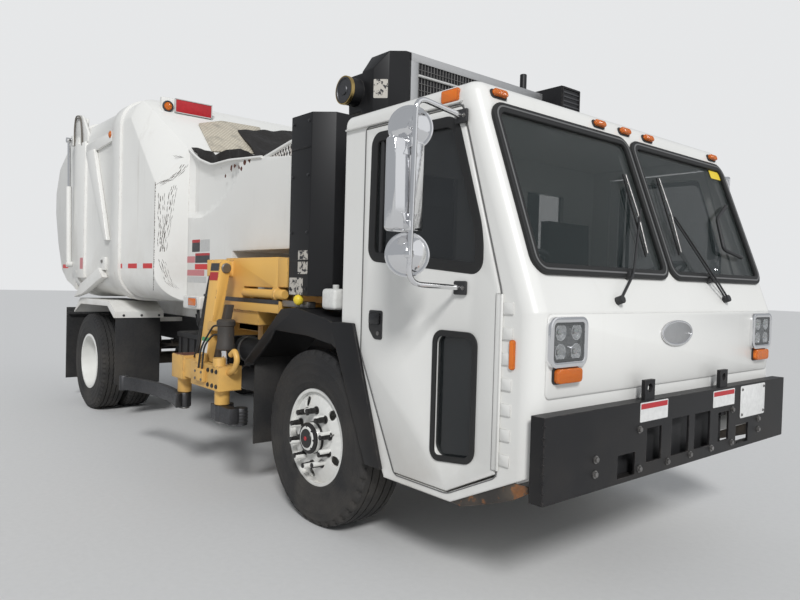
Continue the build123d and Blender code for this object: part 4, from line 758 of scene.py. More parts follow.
nodesWith = {
    "blackPaint": ["frame_rails", "frame_cross_members", "side_tanks", "front_fenders", "exhaust_stack",
                   "cooling_tower", "hoist_barrel"],
    "castMetal": ["axles", "leaf_springs", "engine_block", "knuckle_right", "knuckle_left"],
    "bumperPaint": ["front_bumper"],
    "cabPaint": ["cab_shell", "door_right", "door_left"],
    "bodyPaint": ["rear_fenders", "storage_body", "hopper_tub", "tailgate", "gate_barrels"],
    "yellowPaint": ["arm_base", "arm_carriage", "lift_arm"],
    "wheelPaint": ["rim_front_right", "rim_front_left", "rims_rear_right", "rims_rear_left"],
    "tyre": ["tyre_front_right", "tyre_front_left", "tyres_rear_right", "tyres_rear_left"],
    "flapRubber": ["mud_flaps"],
    "screenGlass": ["window_panes"],
    "doorGlass": ["door_glass_right", "door_glass_left"],
    "clearLens": ["lamps"],
    "dashPlastic": ["cab_interior"],
    "bareSteel": ["packer_paddle"],
    "darkSteel": ["grabber_finger_rear", "grabber_finger_front"],
    "chrome": ["hoist_rod", "gate_rods", "mirror_right", "mirror_left"],
}
nodeFinish = {node: finish for finish, nodes in nodesWith.items() for node in nodes}
bodyOf = {node: body for body, nodes in frame["record"]["behaviour"]["bodies"].items() for node in nodes}
for node, obj in frame["nodes"].items():
    obj.data.materials.clear()
    obj.data.materials.append(materials[nodeFinish[node]])

# Clean, rounded copies of the sheet metal and castings

rounding = {
    "storage_body": 0.006, "tailgate": 0.008, "front_fenders": 0.006, "rear_fenders": 0.002,
    "exhaust_stack": 0.006, "cooling_tower": 0.006, "arm_base": 0.005, "arm_carriage": 0.006,
    "lift_arm": 0.006, "door_right": 0.004, "door_left": 0.004, "side_tanks": 0.006, "frame_rails": 0.002,
    "grabber_finger_rear": 0.004, "grabber_finger_front": 0.004, "hopper_tub": 0.006, "mud_flaps": 0.002,
    "rim_front_right": 0.003, "rim_front_left": 0.003, "rims_rear_right": 0.003, "rims_rear_left": 0.003,
    "front_bumper": 0,
}
bumperFront = {"from": 3.88, "back": 0.014}  # the face stands back, so that bolt heads stay in the length
dressedNodes = {}
for node, width in rounding.items():
    obj = dressed(node, node + "_finished", width)
    if node == "front_bumper":
        for vertex in obj.data.vertices:
            if vertex.co.x > bumperFront["from"]:
                vertex.co.x -= bumperFront["back"]
    give(obj, materials[nodeFinish[node]], bodyOf[node])
    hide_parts(node)
    dressedNodes[node] = obj
print("rounded copies:", len(dressedNodes))

# Fitting pieces to their bodies, on one side or on both

doors = ("door_right", "door_left")
frameSides = ("chassis", "chassis")
loadSides = ("load_body", "load_body")


def fit(obj, material, body, twinBody=None):
    give(obj, materials[material], body)
    if twinBody:
        give(mirrored(obj), None, twinBody, obj.name + "Left")
    return obj


def fitRows(make, rows, *bodies):  # a row has the name, the material, and what the making function takes
    for name, material, *values in rows:
        fit(make(name, *values), material, *bodies)


def roundOf(x, z, wide, high, count, start=0.0):  # points round an oval
    turns = [math.tau * (i + start) / count for i in range(count)]
    return [(x + wide * math.cos(turn), z + high * math.sin(turn)) for turn in turns]


screenAt = frameAt((3.81, 0, 1.378), (0, 1, 0), (-0.3532, 0, 0.9356))


def rightAt(y):
    return frameAt((0, y, 0), (1, 0, 0), (0, 0, 1))


def frontAt(x):
    return frameAt((x, 0, 0), (0, 1, 0), (0, 0, 1))


# Windscreen: rubber seals, wipers, sticker and marker lamps

screenSet = {
    "near": 0.006, "far": 1.148, "low": 0.17, "high": 1.016, "corner": 0.088, "inset": 0.019,
    "sealWidth": 0.052, "fillerWidth": 0.009, "markers": (0.0, 0.25, -0.25, 1.06, -1.06),
    "markerBase": (0.055, 1.04, 1.086), "markerLens": (0.047, 1.046, 1.08),
    "sticker": ((0.958, 0.903), (1.091, 0.96)),
    "handle": [(0.991, 0.7, 0.02), (0.767, 0.586, 0.03), (0.714, 0.378, 0.03), (0.95, 0.34, 0.02)],
    "handleBend": 0.03, "handleRadius": 0.011,
}


def buildScreen(v):
    inset, corner = v["inset"], v["corner"]
    for side in (-1, 1):
        near, far = sorted((side * v["near"], side * v["far"]))
        seal = ((near, v["low"]), (far, v["high"]))
        filler = ((near + inset, v["low"] + inset), (far - inset, v["high"] - inset))
        fitRows(addFrame, [
            ("screenSeal", "sealRubber", seal, v["sealWidth"], 0.022, screenAt, corner, 0.006, -0.004),
            ("screenSealFiller", "sealGrey", filler, v["fillerWidth"], 0.004, screenAt, corner - inset, 0.001,
             0.0165),
        ], "chassis")
    for y in v["markers"]:
        base, lens = [((y - half, low), (y + half, high)) for half, low, high in
                      (v["markerBase"], v["markerLens"])]
        fitRows(addPlate, [
            ("roofMarkerBase", "trimPlastic", base, 0.007, screenAt, 0.018),
            ("roofMarkerLens", "amberLens", lens, 0.024, screenAt, 0.014, 0.007, 0.004),
        ], "chassis")
    sticker = addPlate("screenSticker", v["sticker"], 0.0015, screenAt, 0.004, 0, 0.002)
    fit(sticker, "stickerYellow", "chassis")
    handle = addTube("screenHandle", bend(v["handle"], v["handleBend"]), v["handleRadius"])
    handle.data.transform(screenAt)
    fit(handle, "trimPlastic", "chassis")


wiperSet = {
    "near": {"pivot": (-0.571, 0.052), "elbow": (-0.427, 0.182), "top": (-0.156, 0.547),
             "blade": ((-0.17, 0.759), (-0.198, 0.305))},
    "far": {"pivot": (0.556, 0.065), "elbow": (0.42, 0.18), "top": (0.196, 0.535),
            "blade": ((0.193, 0.785), (0.168, 0.331))},
    "armRadius": 0.0055, "armShift": 0.011, "hubRadius": 0.02, "rubberRadius": 0.006, "claws": 5,
    "clawRadius": 0.004,
}


def buildWiper(v, common):
    pieces = []
    for shift in (-common["armShift"], common["armShift"]):
        points = [(v["pivot"][0] + shift, v["pivot"][1] + shift, 0.02),
                  (v["elbow"][0] + shift, v["elbow"][1] + shift, 0.045),
                  (v["top"][0] + shift * 0.6, v["top"][1] + shift, 0.038)]
        pieces.append(addTube("wiperArm", bend(points, 0.04), common["armRadius"], 10))
    for place in ("pivot", "elbow"):
        low, high = (*v[place], -0.004), (*v[place], 0.036)
        pieces.append(addRod("wiperHub", low, high, common["hubRadius"], 20, 0.003))
    arm = joinUp(pieces, "wiperArm")
    (topY, topS), (lowY, lowS) = v["blade"]
    middle = ((topY + lowY) / 2, (topS + lowS) / 2, 0.034)
    spine = addTube("wiperBlade", [(topY, topS, 0.026), middle, (lowY, lowS, 0.026)], common["armRadius"], 8)
    claws = []
    for i in range(common["claws"]):
        t = (i + 0.5) / common["claws"]
        y, s = topY + (lowY - topY) * t, topS + (lowS - topS) * t
        claws.append(addRod("wiperClaw", (y, s, 0.012), (y, s, 0.03), common["clawRadius"], 8))
    blade = joinUp([spine] + claws, "wiperBlade")
    rubber = addTube("wiperRubber", [(topY, topS + 0.01, 0.012), (lowY, lowS - 0.01, 0.012)],
                     common["rubberRadius"], 6)
    for piece, material in ((arm, "trimPlastic"), (blade, "bareSteel"), (rubber, "sealRubber")):
        piece.data.transform(screenAt)
        fit(piece, material, "chassis")


buildScreen(screenSet)
for key in ("near", "far"):
    buildWiper(wiperSet[key], wiperSet)
print("windscreen fitted")

# Lamps: square headlamps, indicators and round tail lamps

lampSet = {
    "y": 0.996, "z": 1.25, "width": 0.27, "height": 0.22, "rim": 0.026, "face": 3.811, "bowl": 0.038,
    "spread": (0.056, 0.044), "stepGap": 0.002, "bulb": 0.011, "indicatorBase": (-0.092, 0.098, 1.068, 1.141),
    "indicatorLens": (-0.085, 0.091, 1.073, 1.136),
}


def buildHeadlamp(v):
    at, w, h, rim = frontAt(v["face"]), v["width"] / 2, v["height"] / 2, v["rim"]
    y, z = -v["y"], v["z"]

    def boxIn(inset):  # the lamp's outline, drawn in by inset
        return ((y - w + inset, z - h + inset), (y + w - inset, z + h - inset))

    def beside(left, right, low, high):
        return ((y + left, low), (y + right, high))

    bezel = addFrame("headlampBezel", boxIn(0), rim, 0.03, at, 0.045, 0.005, -0.004)
    fit(bezel, "chrome", *frameSides)
    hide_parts("lamps")
    step = addFrame("headlampStep", boxIn(rim - v["stepGap"]), 0.014, 0.022, at, 0.024, 0.002, -0.002)
    fit(step, "trimPlastic", *frameSides)
    fit(addPlate("headlampBack", boxIn(rim), 0.006, at, 0.02), "lampBowl", *frameSides)
    bowls, bulbs = [], []
    r = v["bowl"]
    shape = [(r, 0.012), (r - 0.003, 0.013), (0.024, 0.004), (0.012, 0.0), (r, -0.001)]
    for i in (-1, 1):
        for j in (-1, 1):
            centre = Vector((v["face"] + 0.006, y + i * v["spread"][0], z + j * v["spread"][1]))
            bowls.append(addTurned("headlampBowl", shape, centre, (1, 0, 0), 28))
            bulbs.append(addRod("headlampBulb", centre, centre + Vector((0.012, 0, 0)), v["bulb"], 16, 0.003))
    fit(joinUp(bowls, "headlampBowls"), "mirrorGlass", *frameSides)
    fit(joinUp(bulbs, "headlampBulbs"), "clearLens", *frameSides)
    fitRows(addPlate, [
        ("headlampCover", "lampGlass", boxIn(rim), 0.004, at, 0.022, 0.001, 0.0185),
        ("indicatorBase", "trimPlastic", beside(*v["indicatorBase"]), 0.01, at, 0.02),
        ("indicatorLens", "amberLens", beside(*v["indicatorLens"]), 0.028, at, 0.018, 0.006, 0.006),
    ], *frameSides)


tailLampSet = {
    "x": -3.415, "z": 0.58, "places": (-0.9, -0.76),
    "rim": [(0.058, 0.0), (0.058, 0.012), (0.053, 0.016), (0.048, 0.012), (0.048, 0.0)],
    "lens": [(0.0, 0.024), (0.02, 0.0235), (0.04, 0.019), (0.0485, 0.01), (0.0485, 0.0), (0.0, 0.0)],
}


def buildTailLamps(v):
    for y in v["places"]:
        centre = (v["x"], y, v["z"])
        fitRows(addTurned, [
            ("tailLampRim", "sealRubber", v["rim"], centre, (-1, 0, 0), 36),
            ("tailLampLens", "redLens", v["lens"], centre, (-1, 0, 0), 36),
        ], *frameSides)


buildHeadlamp(lampSet)
buildTailLamps(tailLampSet)
print("lamps fitted")

# Cab front: raised lamp panel and blank oval plate

frontSet = {
    "panel": ((-1.128, 1.004), (1.128, 1.372)), "panelDepth": 0.005, "panelAt": frontAt(3.8085),
    "oval": roundOf(-0.036, 1.264, 0.159, 0.067, 40), "ovalAt": frontAt(3.812), "ovalDepth": 0.008,
    "rimWidth": 0.012, "rimDepth": 0.013,
}


def buildFront(v):
    fit(addPlate("lampPanel", v["panel"], v["panelDepth"], v["panelAt"], 0.03, 0.003), "cabPaint", "chassis")
    fit(addPlate("ovalPlate", v["oval"], v["ovalDepth"], v["ovalAt"]), "aluminium", "chassis")
    rim = addFrame("ovalRim", v["oval"], v["rimWidth"], v["rimDepth"], v["ovalAt"], 0, 0.003)
    fit(rim, "chrome", "chassis")


# Bumper: bolts, decals, blank plate, and a dark plate behind the slots that paints the shade there

bumperSet = {
    "face": 3.8865,
    "bolts": [(-0.493, 0.821), (-0.485, 0.632), (-0.221, 0.628), (0.012, 0.63), (0.249, 0.631),
              (0.496, 0.631), (0.494, 0.818), (0.849, 0.729), (0.853, 0.664), (-0.853, 0.664),
              (-0.849, 0.729)],
    "boltSize": 0.013,
    "decals": [((-0.492, 0.853), (-0.234, 0.946)), ((0.255, 0.849), (0.516, 0.94))],
    "decalEdge": 0.006, "bandShare": 0.34,
    "plate": ((0.594, 0.756), (0.927, 0.942)), "plateDepth": 0.003, "plateBoltInset": 0.02,
    # a dark plate behind the slot cutouts: painted shade standing in for the shaded hollow inside the bumper
    "backing": ((-0.7, 0.6), (0.5, 0.9)), "backingAt": frontAt(3.812),
    "weld": {"count": 9, "y": -1.216, "low": 0.6, "step": 0.038, "from": 3.878, "to": 3.889,
             "radius": 0.007},
}


def buildBumper(v):
    at, edge = frontAt(v["face"]), v["decalEdge"]
    fit(addBolts("bumperBolts", v["bolts"], v["boltSize"], at), "bareSteel", "chassis")
    for low, high in v["decals"]:
        bandLow = high[1] - (high[1] - low[1]) * v["bandShare"]
        band = ((low[0] + edge, bandLow), (high[0] - edge, high[1] - edge))
        fitRows(addPlate, [
            ("bumperDecal", "decalWhite", (low, high), 0.0012, at, 0.006, 0),
            ("bumperDecalBand", "decalRed", band, 0.0016, at, 0.003, 0),
        ], "chassis")
    fit(addPlate("bumperPlate", v["plate"], v["plateDepth"], at, 0.012, 0.001), "decalWhite", "chassis")
    (left, low), (right, high) = v["plate"]
    inset = v["plateBoltInset"]
    corners = [(y, z) for z in (low + inset, high - inset) for y in (left + inset, right - inset)]
    plateFace = frontAt(v["face"] + v["plateDepth"])
    fit(addBolts("bumperPlateBolts", corners, 0.006, plateFace), "bareSteel", "chassis")
    # painted shade: a dark plastic plate behind the slots, where inside the bumper there is only shade
    fit(addPlate("bumperBacking", v["backing"], 0.01, v["backingAt"], 0.02), "trimPlastic", "chassis")
    weld, lumps = v["weld"], []
    for i in range(weld["count"]):
        y = weld["y"] + rng.uniform(-0.003, 0.002)
        z = weld["low"] + i * weld["step"] + rng.uniform(-0.006, 0.006)
        lumps.append(addRod("bumperWeld", (weld["from"], y, z), (weld["to"], y, z + 0.012), weld["radius"], 8,
                            0.002))
    fit(joinUp(lumps, "bumperWeld"), "bumperPaint", "chassis")


buildFront(frontSet)
buildBumper(bumperSet)
print("cab front fitted")

# Door side: window rims, hinge leaves, handle, gutter and marker lamps

doorSet = {
    "skin": -1.206, "cabSkin": -1.1995,
    "window": [(2.664, 1.599), (3.512, 1.527), (3.51, 1.721), (3.324, 2.278), (2.675, 2.285)],
    "slider": ((2.748, 1.6), (2.772, 2.26)),
    "track": [(2.7, 1.625), (3.47, 1.562), (3.47, 1.586), (2.7, 1.649)],
    "slot": [(3.198, 0.632), (3.492, 0.668), (3.492, 1.268), (3.198, 1.268)],
    "shut": [(2.615, 2.318), (2.615, 1.1), (2.926, 0.5), (3.315, 0.5), (3.62, 0.648), (3.62, 1.458),
             (3.35, 2.318)],
    "shutCentre": (3.1, 1.4), "shutGrowth": 1.008,
    "leaves": {"count": 7, "low": 0.7, "step": 0.11, "height": 0.055, "x": (3.634, 3.69)},
    "handle": [(2.692, 1.336), (2.692, 1.235), (2.74, 1.182), (2.806, 1.182), (2.806, 1.336)],
    "paddle": [(2.706, 1.322), (2.706, 1.262), (2.792, 1.262), (2.792, 1.322)],
    "lock": (2.775, 1.215), "lockRadius": 0.012,
    "gutter": [(2.436, 2.327), (3.338, 2.327), (3.35, 2.338), (2.436, 2.338)],
    "roofLamp": ((3.207, 2.342), (3.322, 2.404)), "marker": ((3.677, 1.125), (3.707, 1.255)),
    "step": [(3.3, 0.462), (3.4, 0.455), (3.5, 0.487), (3.62, 0.53), (3.7, 0.56), (3.79, 0.612),
             (3.79, 0.64), (3.6, 0.64), (3.31, 0.5)],
}


def buildDoor(v):
    skin, cabSkin = rightAt(v["skin"]), rightAt(v["cabSkin"])
    rim = addFrame("doorWindowRim", v["window"], 0.052, 0.016, skin, 0.075, 0.006, -0.012)
    fit(rim, "sealRubber", *doors)
    fitRows(addPlate, [
        ("doorWindowSlider", "trimPlastic", v["slider"], 0.016, rightAt(-1.186), 0, 0.003),
        ("doorWindowTrack", "trimPlastic", v["track"], 0.014, rightAt(-1.187), 0, 0.003),
    ], *doors)
    fit(addFrame("doorSlotRim", v["slot"], 0.03, 0.012, skin, 0.062, 0.005, -0.004), "sealRubber", *doors)
    centre = Vector(v["shutCentre"])
    grown = [tuple(centre + (Vector(p) - centre) * v["shutGrowth"]) for p in v["shut"]]
    fit(addFrame("doorShutSeal", grown, 0.005, 0.0035, cabSkin, 0.03, 0), "sealGrey", *frameSides)
    leaf, leaves = v["leaves"], []
    for i in range(leaf["count"]):
        z = leaf["low"] + i * leaf["step"]
        corners = ((leaf["x"][0], z), (leaf["x"][1], z + leaf["height"]))
        leaves.append(addPlate("doorHingeLeaf", corners, 0.006, cabSkin, 0.004, 0.001))
    fit(joinUp(leaves, "doorHingeLeaves"), "cabPaint", *frameSides)
    fitRows(addPlate, [
        ("doorHandleTray", "trimPlastic", v["handle"], 0.005, skin, 0.014),
        ("doorHandlePaddle", "glossBlack", v["paddle"], 0.016, skin, 0.01, 0.004, 0.003),
    ], *doors)
    x, z = v["lock"]
    fit(addRod("doorLock", (x, -1.205, z), (x, -1.216, z), v["lockRadius"], 18, 0.002), "bareSteel", *doors)
    fitRows(addPlate, [
        ("roofGutter", "cabPaint", v["gutter"], 0.017, rightAt(-1.199), 0, 0.003),
        ("roofSideLamp", "amberLens", v["roofLamp"], 0.022, rightAt(-1.19), 0.012, 0.007),
        ("cabSideMarker", "amberLens", v["marker"], 0.014, rightAt(-1.198), 0.012, 0.005),
        ("doorStep", "castMetal", v["step"], 0.01, rightAt(-1.182), 0, 0.002),
    ], *frameSides)


buildDoor(doorSet)
print("door side fitted")

# Mirrors: bent tube, square head with glass, two fluted round heads

mirrorSet = {
    "x": 3.34, "y": -1.5, "lowZ": 1.47, "highZ": 2.282, "tube": 0.0125, "skin": -1.2068,
    "head": (1.716, 2.118), "headBack": 0.067, "headFront": 0.012, "headHalf": 0.09,
    "foot": (0.038, 0.032), "footDepth": 0.018, "footBolts": 0.024,
    "bracket": (0.045, 0.075, 0.012), "clampHalf": (0.018, 0.022),
    "rounds": (1.612, 2.175), "turn": 38.0, "radius": 0.098, "depth": 0.062, "roundClamp": (0.014, 0.016),
}


def buildMirrorArm(v):
    x, y, skin = v["x"], v["y"], v["skin"]
    feet = ((x + 0.04, v["lowZ"]), (x + 0.015, v["highZ"] - 0.022))
    (lowX, lowZ), (highX, highZ) = feet
    path = bend([(lowX, skin, lowZ), (x + 0.004, y, v["lowZ"] + 0.012), (x + 0.02, y, v["highZ"] + 0.014),
                 (highX, skin, highZ)], 0.07, 6)
    tube = addTube("mirrorTube", path, v["tube"], 16)
    fit(tube, "chrome", *doors)
    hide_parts("mirror_right")
    half, tall = v["foot"]
    for at, z in feet:
        low, high = (at - half, skin - v["footDepth"], z - tall), (at + half, skin + 0.001, z + tall)
        fit(addBlock("mirrorFoot", low, high, 0.006), "trimPlastic", *doors)
        places = [(at - v["footBolts"], z), (at + v["footBolts"], z)]
        fit(addBolts("mirrorFootBolts", places, 0.007, rightAt(skin - v["footDepth"])), "bareSteel", *doors)


def buildMirrorHead(v):
    x, y, (low, high) = v["x"], v["y"], v["head"]
    head = addBlock("mirrorHead", (x - v["headBack"], y - v["headHalf"], low),
                    (x - v["headFront"], y + v["headHalf"], high), 0)
    chooseFaces(head, lambda face: face.normal.x > 0.9)
    bpy.ops.object.mode_set(mode="EDIT")
    bpy.ops.mesh.inset(thickness=0.016, depth=0.006)
    leaveEdit()
    fit(roundEdges(head, 0.01, 3), "chrome", *doors)
    bead = addFrame("mirrorBead", ((y - 0.089, low - 0.005), (y + 0.089, high + 0.005)), 0.012, 0.008,
                    frontAt(x - 0.07), 0.02, 0.003)
    fit(bead, "chrome", *doors)
    pane = addPlate("mirrorPane", ((y - 0.077, low + 0.007), (y + 0.077, high - 0.007)), 0.003,
                    frontAt(x - 0.0695), 0.015, 0)
    fit(pane, "mirrorGlass", *doors)
    half, down, up = v["bracket"]
    wide, tall = v["clampHalf"]
    for z, way in ((low, -1), (high, 1)):
        points = [(y - half, z - way * down), (y, z + way * up), (y + half, z - way * down)]
        wedge = addPlate("mirrorBracket", points, 0.01, frontAt(x - v["headFront"]), 0.006)
        fit(wedge, "chrome", *doors)
        middle = z - way * 0.02
        back, front = (x - 0.014, y - wide, middle - tall), (x + 0.018, y + wide, middle + tall)
        fit(addBlock("mirrorClamp", back, front, 0.004), "chrome", *doors)


def buildMirrorRounds(v):
    x, y, r, d = v["x"], v["y"], v["radius"], v["depth"]
    turn = math.radians(v["turn"])
    way = Vector((math.cos(turn), -math.sin(turn), 0))
    dome = [(0.0, d / 2), (0.014, d / 2), (0.018, d / 2 - 0.006), (0.05, d / 4), (r - 0.012, -d / 4),
            (r - 0.003, -d / 2 + 0.016), (r - 0.003, -d / 2 + 0.012), (r + 0.003, -d / 2 + 0.009),
            (r + 0.003, -d / 2 + 0.002), (r - 0.004, -d / 2), (0.0, -d / 2)]
    pane = [(0.0, 0.0), (r - 0.008, 0.0), (r - 0.008, -0.003), (0.0, -0.005)]
    wide, tall = v["roundClamp"]
    for z in v["rounds"]:
        centre = Vector((x - 0.008, y, z)) - way * d / 2
        fit(addTurned("mirrorRound", dome, centre, way, 48, 30), "chrome", *doors)
        front = centre + way * d / 2
        fit(addRod("mirrorRoundBolt", front - way * 0.004, front + way * 0.008, 0.008, 6, 0.001), "bareSteel",
            *doors)
        fit(addTurned("mirrorRoundPane", pane, centre - way * d / 2, way, 40), "mirrorGlass", *doors)
        back, front = (x - 0.012, y - wide, z - tall), (x + 0.017, y + wide, z + tall)
        fit(addBlock("mirrorRoundClamp", back, front, 0.004), "chrome", *doors)


buildMirrorArm(mirrorSet)
buildMirrorHead(mirrorSet)
buildMirrorRounds(mirrorSet)
print("mirrors fitted")

# Tyres: grooved tread, ridged sidewalls and shoulder slots

tyreSet = {
    "front": {"x": 2.13, "radius": 0.533, "half": 0.154, "grooves": (-0.084, -0.029, 0.029, 0.084),
              "grooveHalf": 0.0045, "depth": 0.013, "zigzag": 0.0, "slotEvery": 3},
    "rear": {"x": -2.39, "radius": 0.525, "half": 0.138, "grooves": (-0.07, -0.024, 0.024, 0.07),
             "grooveHalf": 0.004, "depth": 0.014, "zigzag": 0.0045, "slotEvery": 2},
}
tyrePlaces = [  # axle, name, distance from the middle, body, and the node that it stands for
    ("front", "frontTyre", 1.04, "wheel_front_", "tyre_front_"),
    ("rear", "rearTyreOuter", 1.066, "wheels_rear_", "tyres_rear_"),
    ("rear", "rearTyreInner", 0.752, "wheels_rear_", None),
]
tyreBead = 0.29
tyreSteps = 120  # cuts round a tyre


def tyreProfile(v):
    r, h, b = v["radius"], v["half"], tyreBead
    side = [(b, h - 0.036), (b + 0.012, h - 0.02), (b + 0.04, h - 0.01), (b + 0.046, h - 0.0065),
            (b + 0.054, h - 0.008), (r - 0.15, h - 0.001), (r - 0.142, h + 0.0015), (r - 0.132, h - 0.0005),
            (r - 0.09, h - 0.001), (r - 0.084, h + 0.001), (r - 0.076, h - 0.002), (r - 0.048, h - 0.008),
            (r - 0.042, h - 0.0065), (r - 0.034, h - 0.012), (r - 0.012, h - 0.022), (r - 0.003, h - 0.032)]
    tread, g, floor = [], v["grooveHalf"], r - v["depth"]
    for place in reversed(v["grooves"]):
        tread += [(r, place + g), (floor, place + g / 2), (floor, place - g / 2), (r, place - g)]
    return side + tread + [(radius, -along) for radius, along in reversed(side)]


def buildTyre(name, centre, v):
    r, step = v["radius"], math.tau / tyreSteps
    tyre = addTurned(name, tyreProfile(v), centre, (0, 1, 0), tyreSteps, 32)

    def stepsOf(co):
        return math.atan2(co.z - centre[2], co.x - centre[0]) / step

    def reachOf(co):
        return math.hypot(co.x - centre[0], co.z - centre[2])

    if v["zigzag"]:
        for vertex in tyre.data.vertices:
            if reachOf(vertex.co) > r - v["depth"] - 0.002 and abs(vertex.co.y - centre[1]) < 0.08:
                vertex.co.y += v["zigzag"] * (1 if round(stepsOf(vertex.co)) % 2 else -1)
    chooseFaces(tyre, lambda face: r - 0.03 < reachOf(face.center) < r - 0.006
                and math.floor(stepsOf(face.center)) % v["slotEvery"] == 0)
    bpy.ops.object.mode_set(mode="EDIT")
    bpy.ops.mesh.inset(thickness=0.0025, depth=-0.006, use_individual=True)
    leaveEdit()
    return tyre


for side, hand in ((-1, "right"), (1, "left")):
    for axle, name, y, body, node in tyrePlaces:
        values = tyreSet[axle]
        tyre = buildTyre(name, (values["x"], side * y, values["radius"]), values)
        fit(tyre, "tyre", body + hand)
        if node:
            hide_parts(node + hand)
print("tyres turned")

# Hubs, nuts and valves

hubSet = {
    "front": {"centre": (2.13, -1.04, 0.533), "face": 0.126, "reach": 0.192, "body": "wheel_front_"},
    "rear": {"centre": (-2.39, -0.909, 0.525), "face": 0.022, "reach": 0.154, "body": "wheels_rear_"},
}
hubShape = {"hub": 0.093, "nuts": 10, "nutCircle": 0.1675, "nutTurn": 0.35, "bolts": 8, "boltCircle": 0.072,
            "valve": [(0.2, 0.01, 0.05), (0.2, -0.02, 0.05), (0.235, -0.045, 0.055)], "valveRadius": 0.004}
nutParts = {  # from and to outside the wheel's face, the radius, sides, bevel and the end's radius
    "nutFlange": (0.002, -0.009, 0.025, 18, 0.002, None),
    "nutCover": (-0.007, -0.052, 0.0195, 6, 0.0015, 0.018),
    "nutTip": (-0.05, -0.076, 0.016, 14, 0.002, 0.0155),
}


def buildHub(key, v, shape):
    x, y, z = v["centre"]
    bodies = (v["body"] + "right", v["body"] + "left")
    h, face, reach = shape["hub"], v["face"], v["reach"]
    base = y - face
    hub = [(h + 0.004, face - 0.004), (h + 0.004, face + 0.012), (h - 0.004, face + 0.016),
           (h - 0.004, reach - 0.026), (h + 0.001, reach - 0.024), (h + 0.001, reach - 0.016),
           (h - 0.008, reach - 0.01), (h - 0.034, reach - 0.006), (h - 0.038, reach + 0.001),
           (0.0, reach + 0.003), (0.0, face - 0.004)]
    cap = [(0.0, reach + 0.005), (0.012, reach + 0.005), (0.014, reach + 0.001), (0.0, reach + 0.001)]
    fitRows(addTurned, [
        (key + "Hub", "hubPaint", hub, v["centre"], (0, -1, 0), 48),
        (key + "HubCap", "decalRed", cap, v["centre"], (0, -1, 0), 24),
    ], *bodies)
    nuts = []
    circle = shape["nutCircle"]
    for nx, nz in roundOf(x, z, circle, circle, shape["nuts"], shape["nutTurn"]):
        for name, (start, end, *shapes) in nutParts.items():
            nuts.append(addRod(name, (nx, base + start, nz), (nx, base + end, nz), *shapes))
    fit(joinUp(nuts, key + "Nuts"), "hubPaint", *bodies)
    places = roundOf(x, z, shape["boltCircle"], shape["boltCircle"], shape["bolts"])
    fit(addBolts(key + "HubBolts", places, 0.006, rightAt(y - reach + 0.01)), "darkSteel", *bodies)
    path = [(x + dx, base + dy, z + dz) for dx, dy, dz in shape["valve"]]
    fit(addTube(key + "Valve", bend(path, 0.01), shape["valveRadius"], 8), "bareSteel", *bodies)


for key, values in hubSet.items():
    buildHub(key, values, hubShape)
print("hubs fitted")

# Side tape, blank labels and worn paint chips on the load body

tapeSet = {"z": (1.554, 1.6), "gap": 0.003, "red": 0.0012, "white": 0.0011,
           "body": [(-1.3, -1.255), (-1.089, -0.847), (-0.69, -0.459)],
           "hopper": [(-0.052, 0.211), (0.385, 0.64), (0.8, 1.05)], "gate": [(-3.528, -3.292)]}


def buildTape(v):
    low, high = v["z"]
    for key, y, body in (("body", -1.2195, "load_body"), ("hopper", -0.9995, "load_body"),
                         ("gate", -1.1895, "tailgate")):
        spans, at = v[key], rightAt(y)
        red = [addPlate("tapeRed", ((a, low), (b, high)), v["red"], at, 0, 0) for a, b in spans]
        fit(joinUp(red, key + "TapeRed"), "tapeRed", body, body)
        white = [addPlate("tapeWhite", ((b + v["gap"], low), (c - v["gap"], high)), v["white"], at, 0, 0)
                 for (a, b), (c, d) in zip(spans, spans[1:])]
        if white:
            fit(joinUp(white, key + "TapeWhite"), "tapeWhite", body, body)


hopperSkin = rightAt(-0.9995)
stackSkin = rightAt(-1.1995)
labelSet = {
    "bandShare": 0.24,
    "hopper": [  # two corners, the material, and the material of the band along the top
        (((-0.118, 1.705), (0.042, 1.81)), "decalDark", "decalRed"),
        (((0.052, 1.705), (0.236, 1.806)), "decalGrey", None),
        (((-0.217, 1.612), (-0.055, 1.668)), "decalPink", None),
        (((-0.048, 1.61), (0.24, 1.692)), "decalDark", "decalRed"),
        (((-0.211, 1.499), (0.139, 1.55)), "decalPink", None),
        (((-0.208, 1.44), (0.18, 1.493)), "decalGrey", None),
    ],
    "pillar": ((-2.595, 1.545), (-2.485, 1.67)),
    "stack": [((1.945, 1.524), (2.055, 1.669)), ((1.85, 1.394), (2.005, 1.5))],
}


def buildLabels(v):
    for corners, material, band in v["hopper"]:
        fit(addPlate("hopperLabel", corners, 0.0012, hopperSkin, 0.006, 0), material, "load_body")
        if band:
            (left, low), high = corners
            top = high[1] - (high[1] - low) * v["bandShare"]
            strip = addPlate("hopperLabelBand", ((left, top), high), 0.0017, hopperSkin, 0.004, 0)
            fit(strip, band, "load_body")
    fit(addPlate("pillarLabel", v["pillar"], 0.0014, rightAt(-1.2455), 0.005, 0), "decalPink", "load_body")
    fitRows(addPlate, [("stackLabel", "wornLabel", corners, 0.0015, stackSkin, 0.006, 0)
                       for corners in v["stack"]], "chassis")


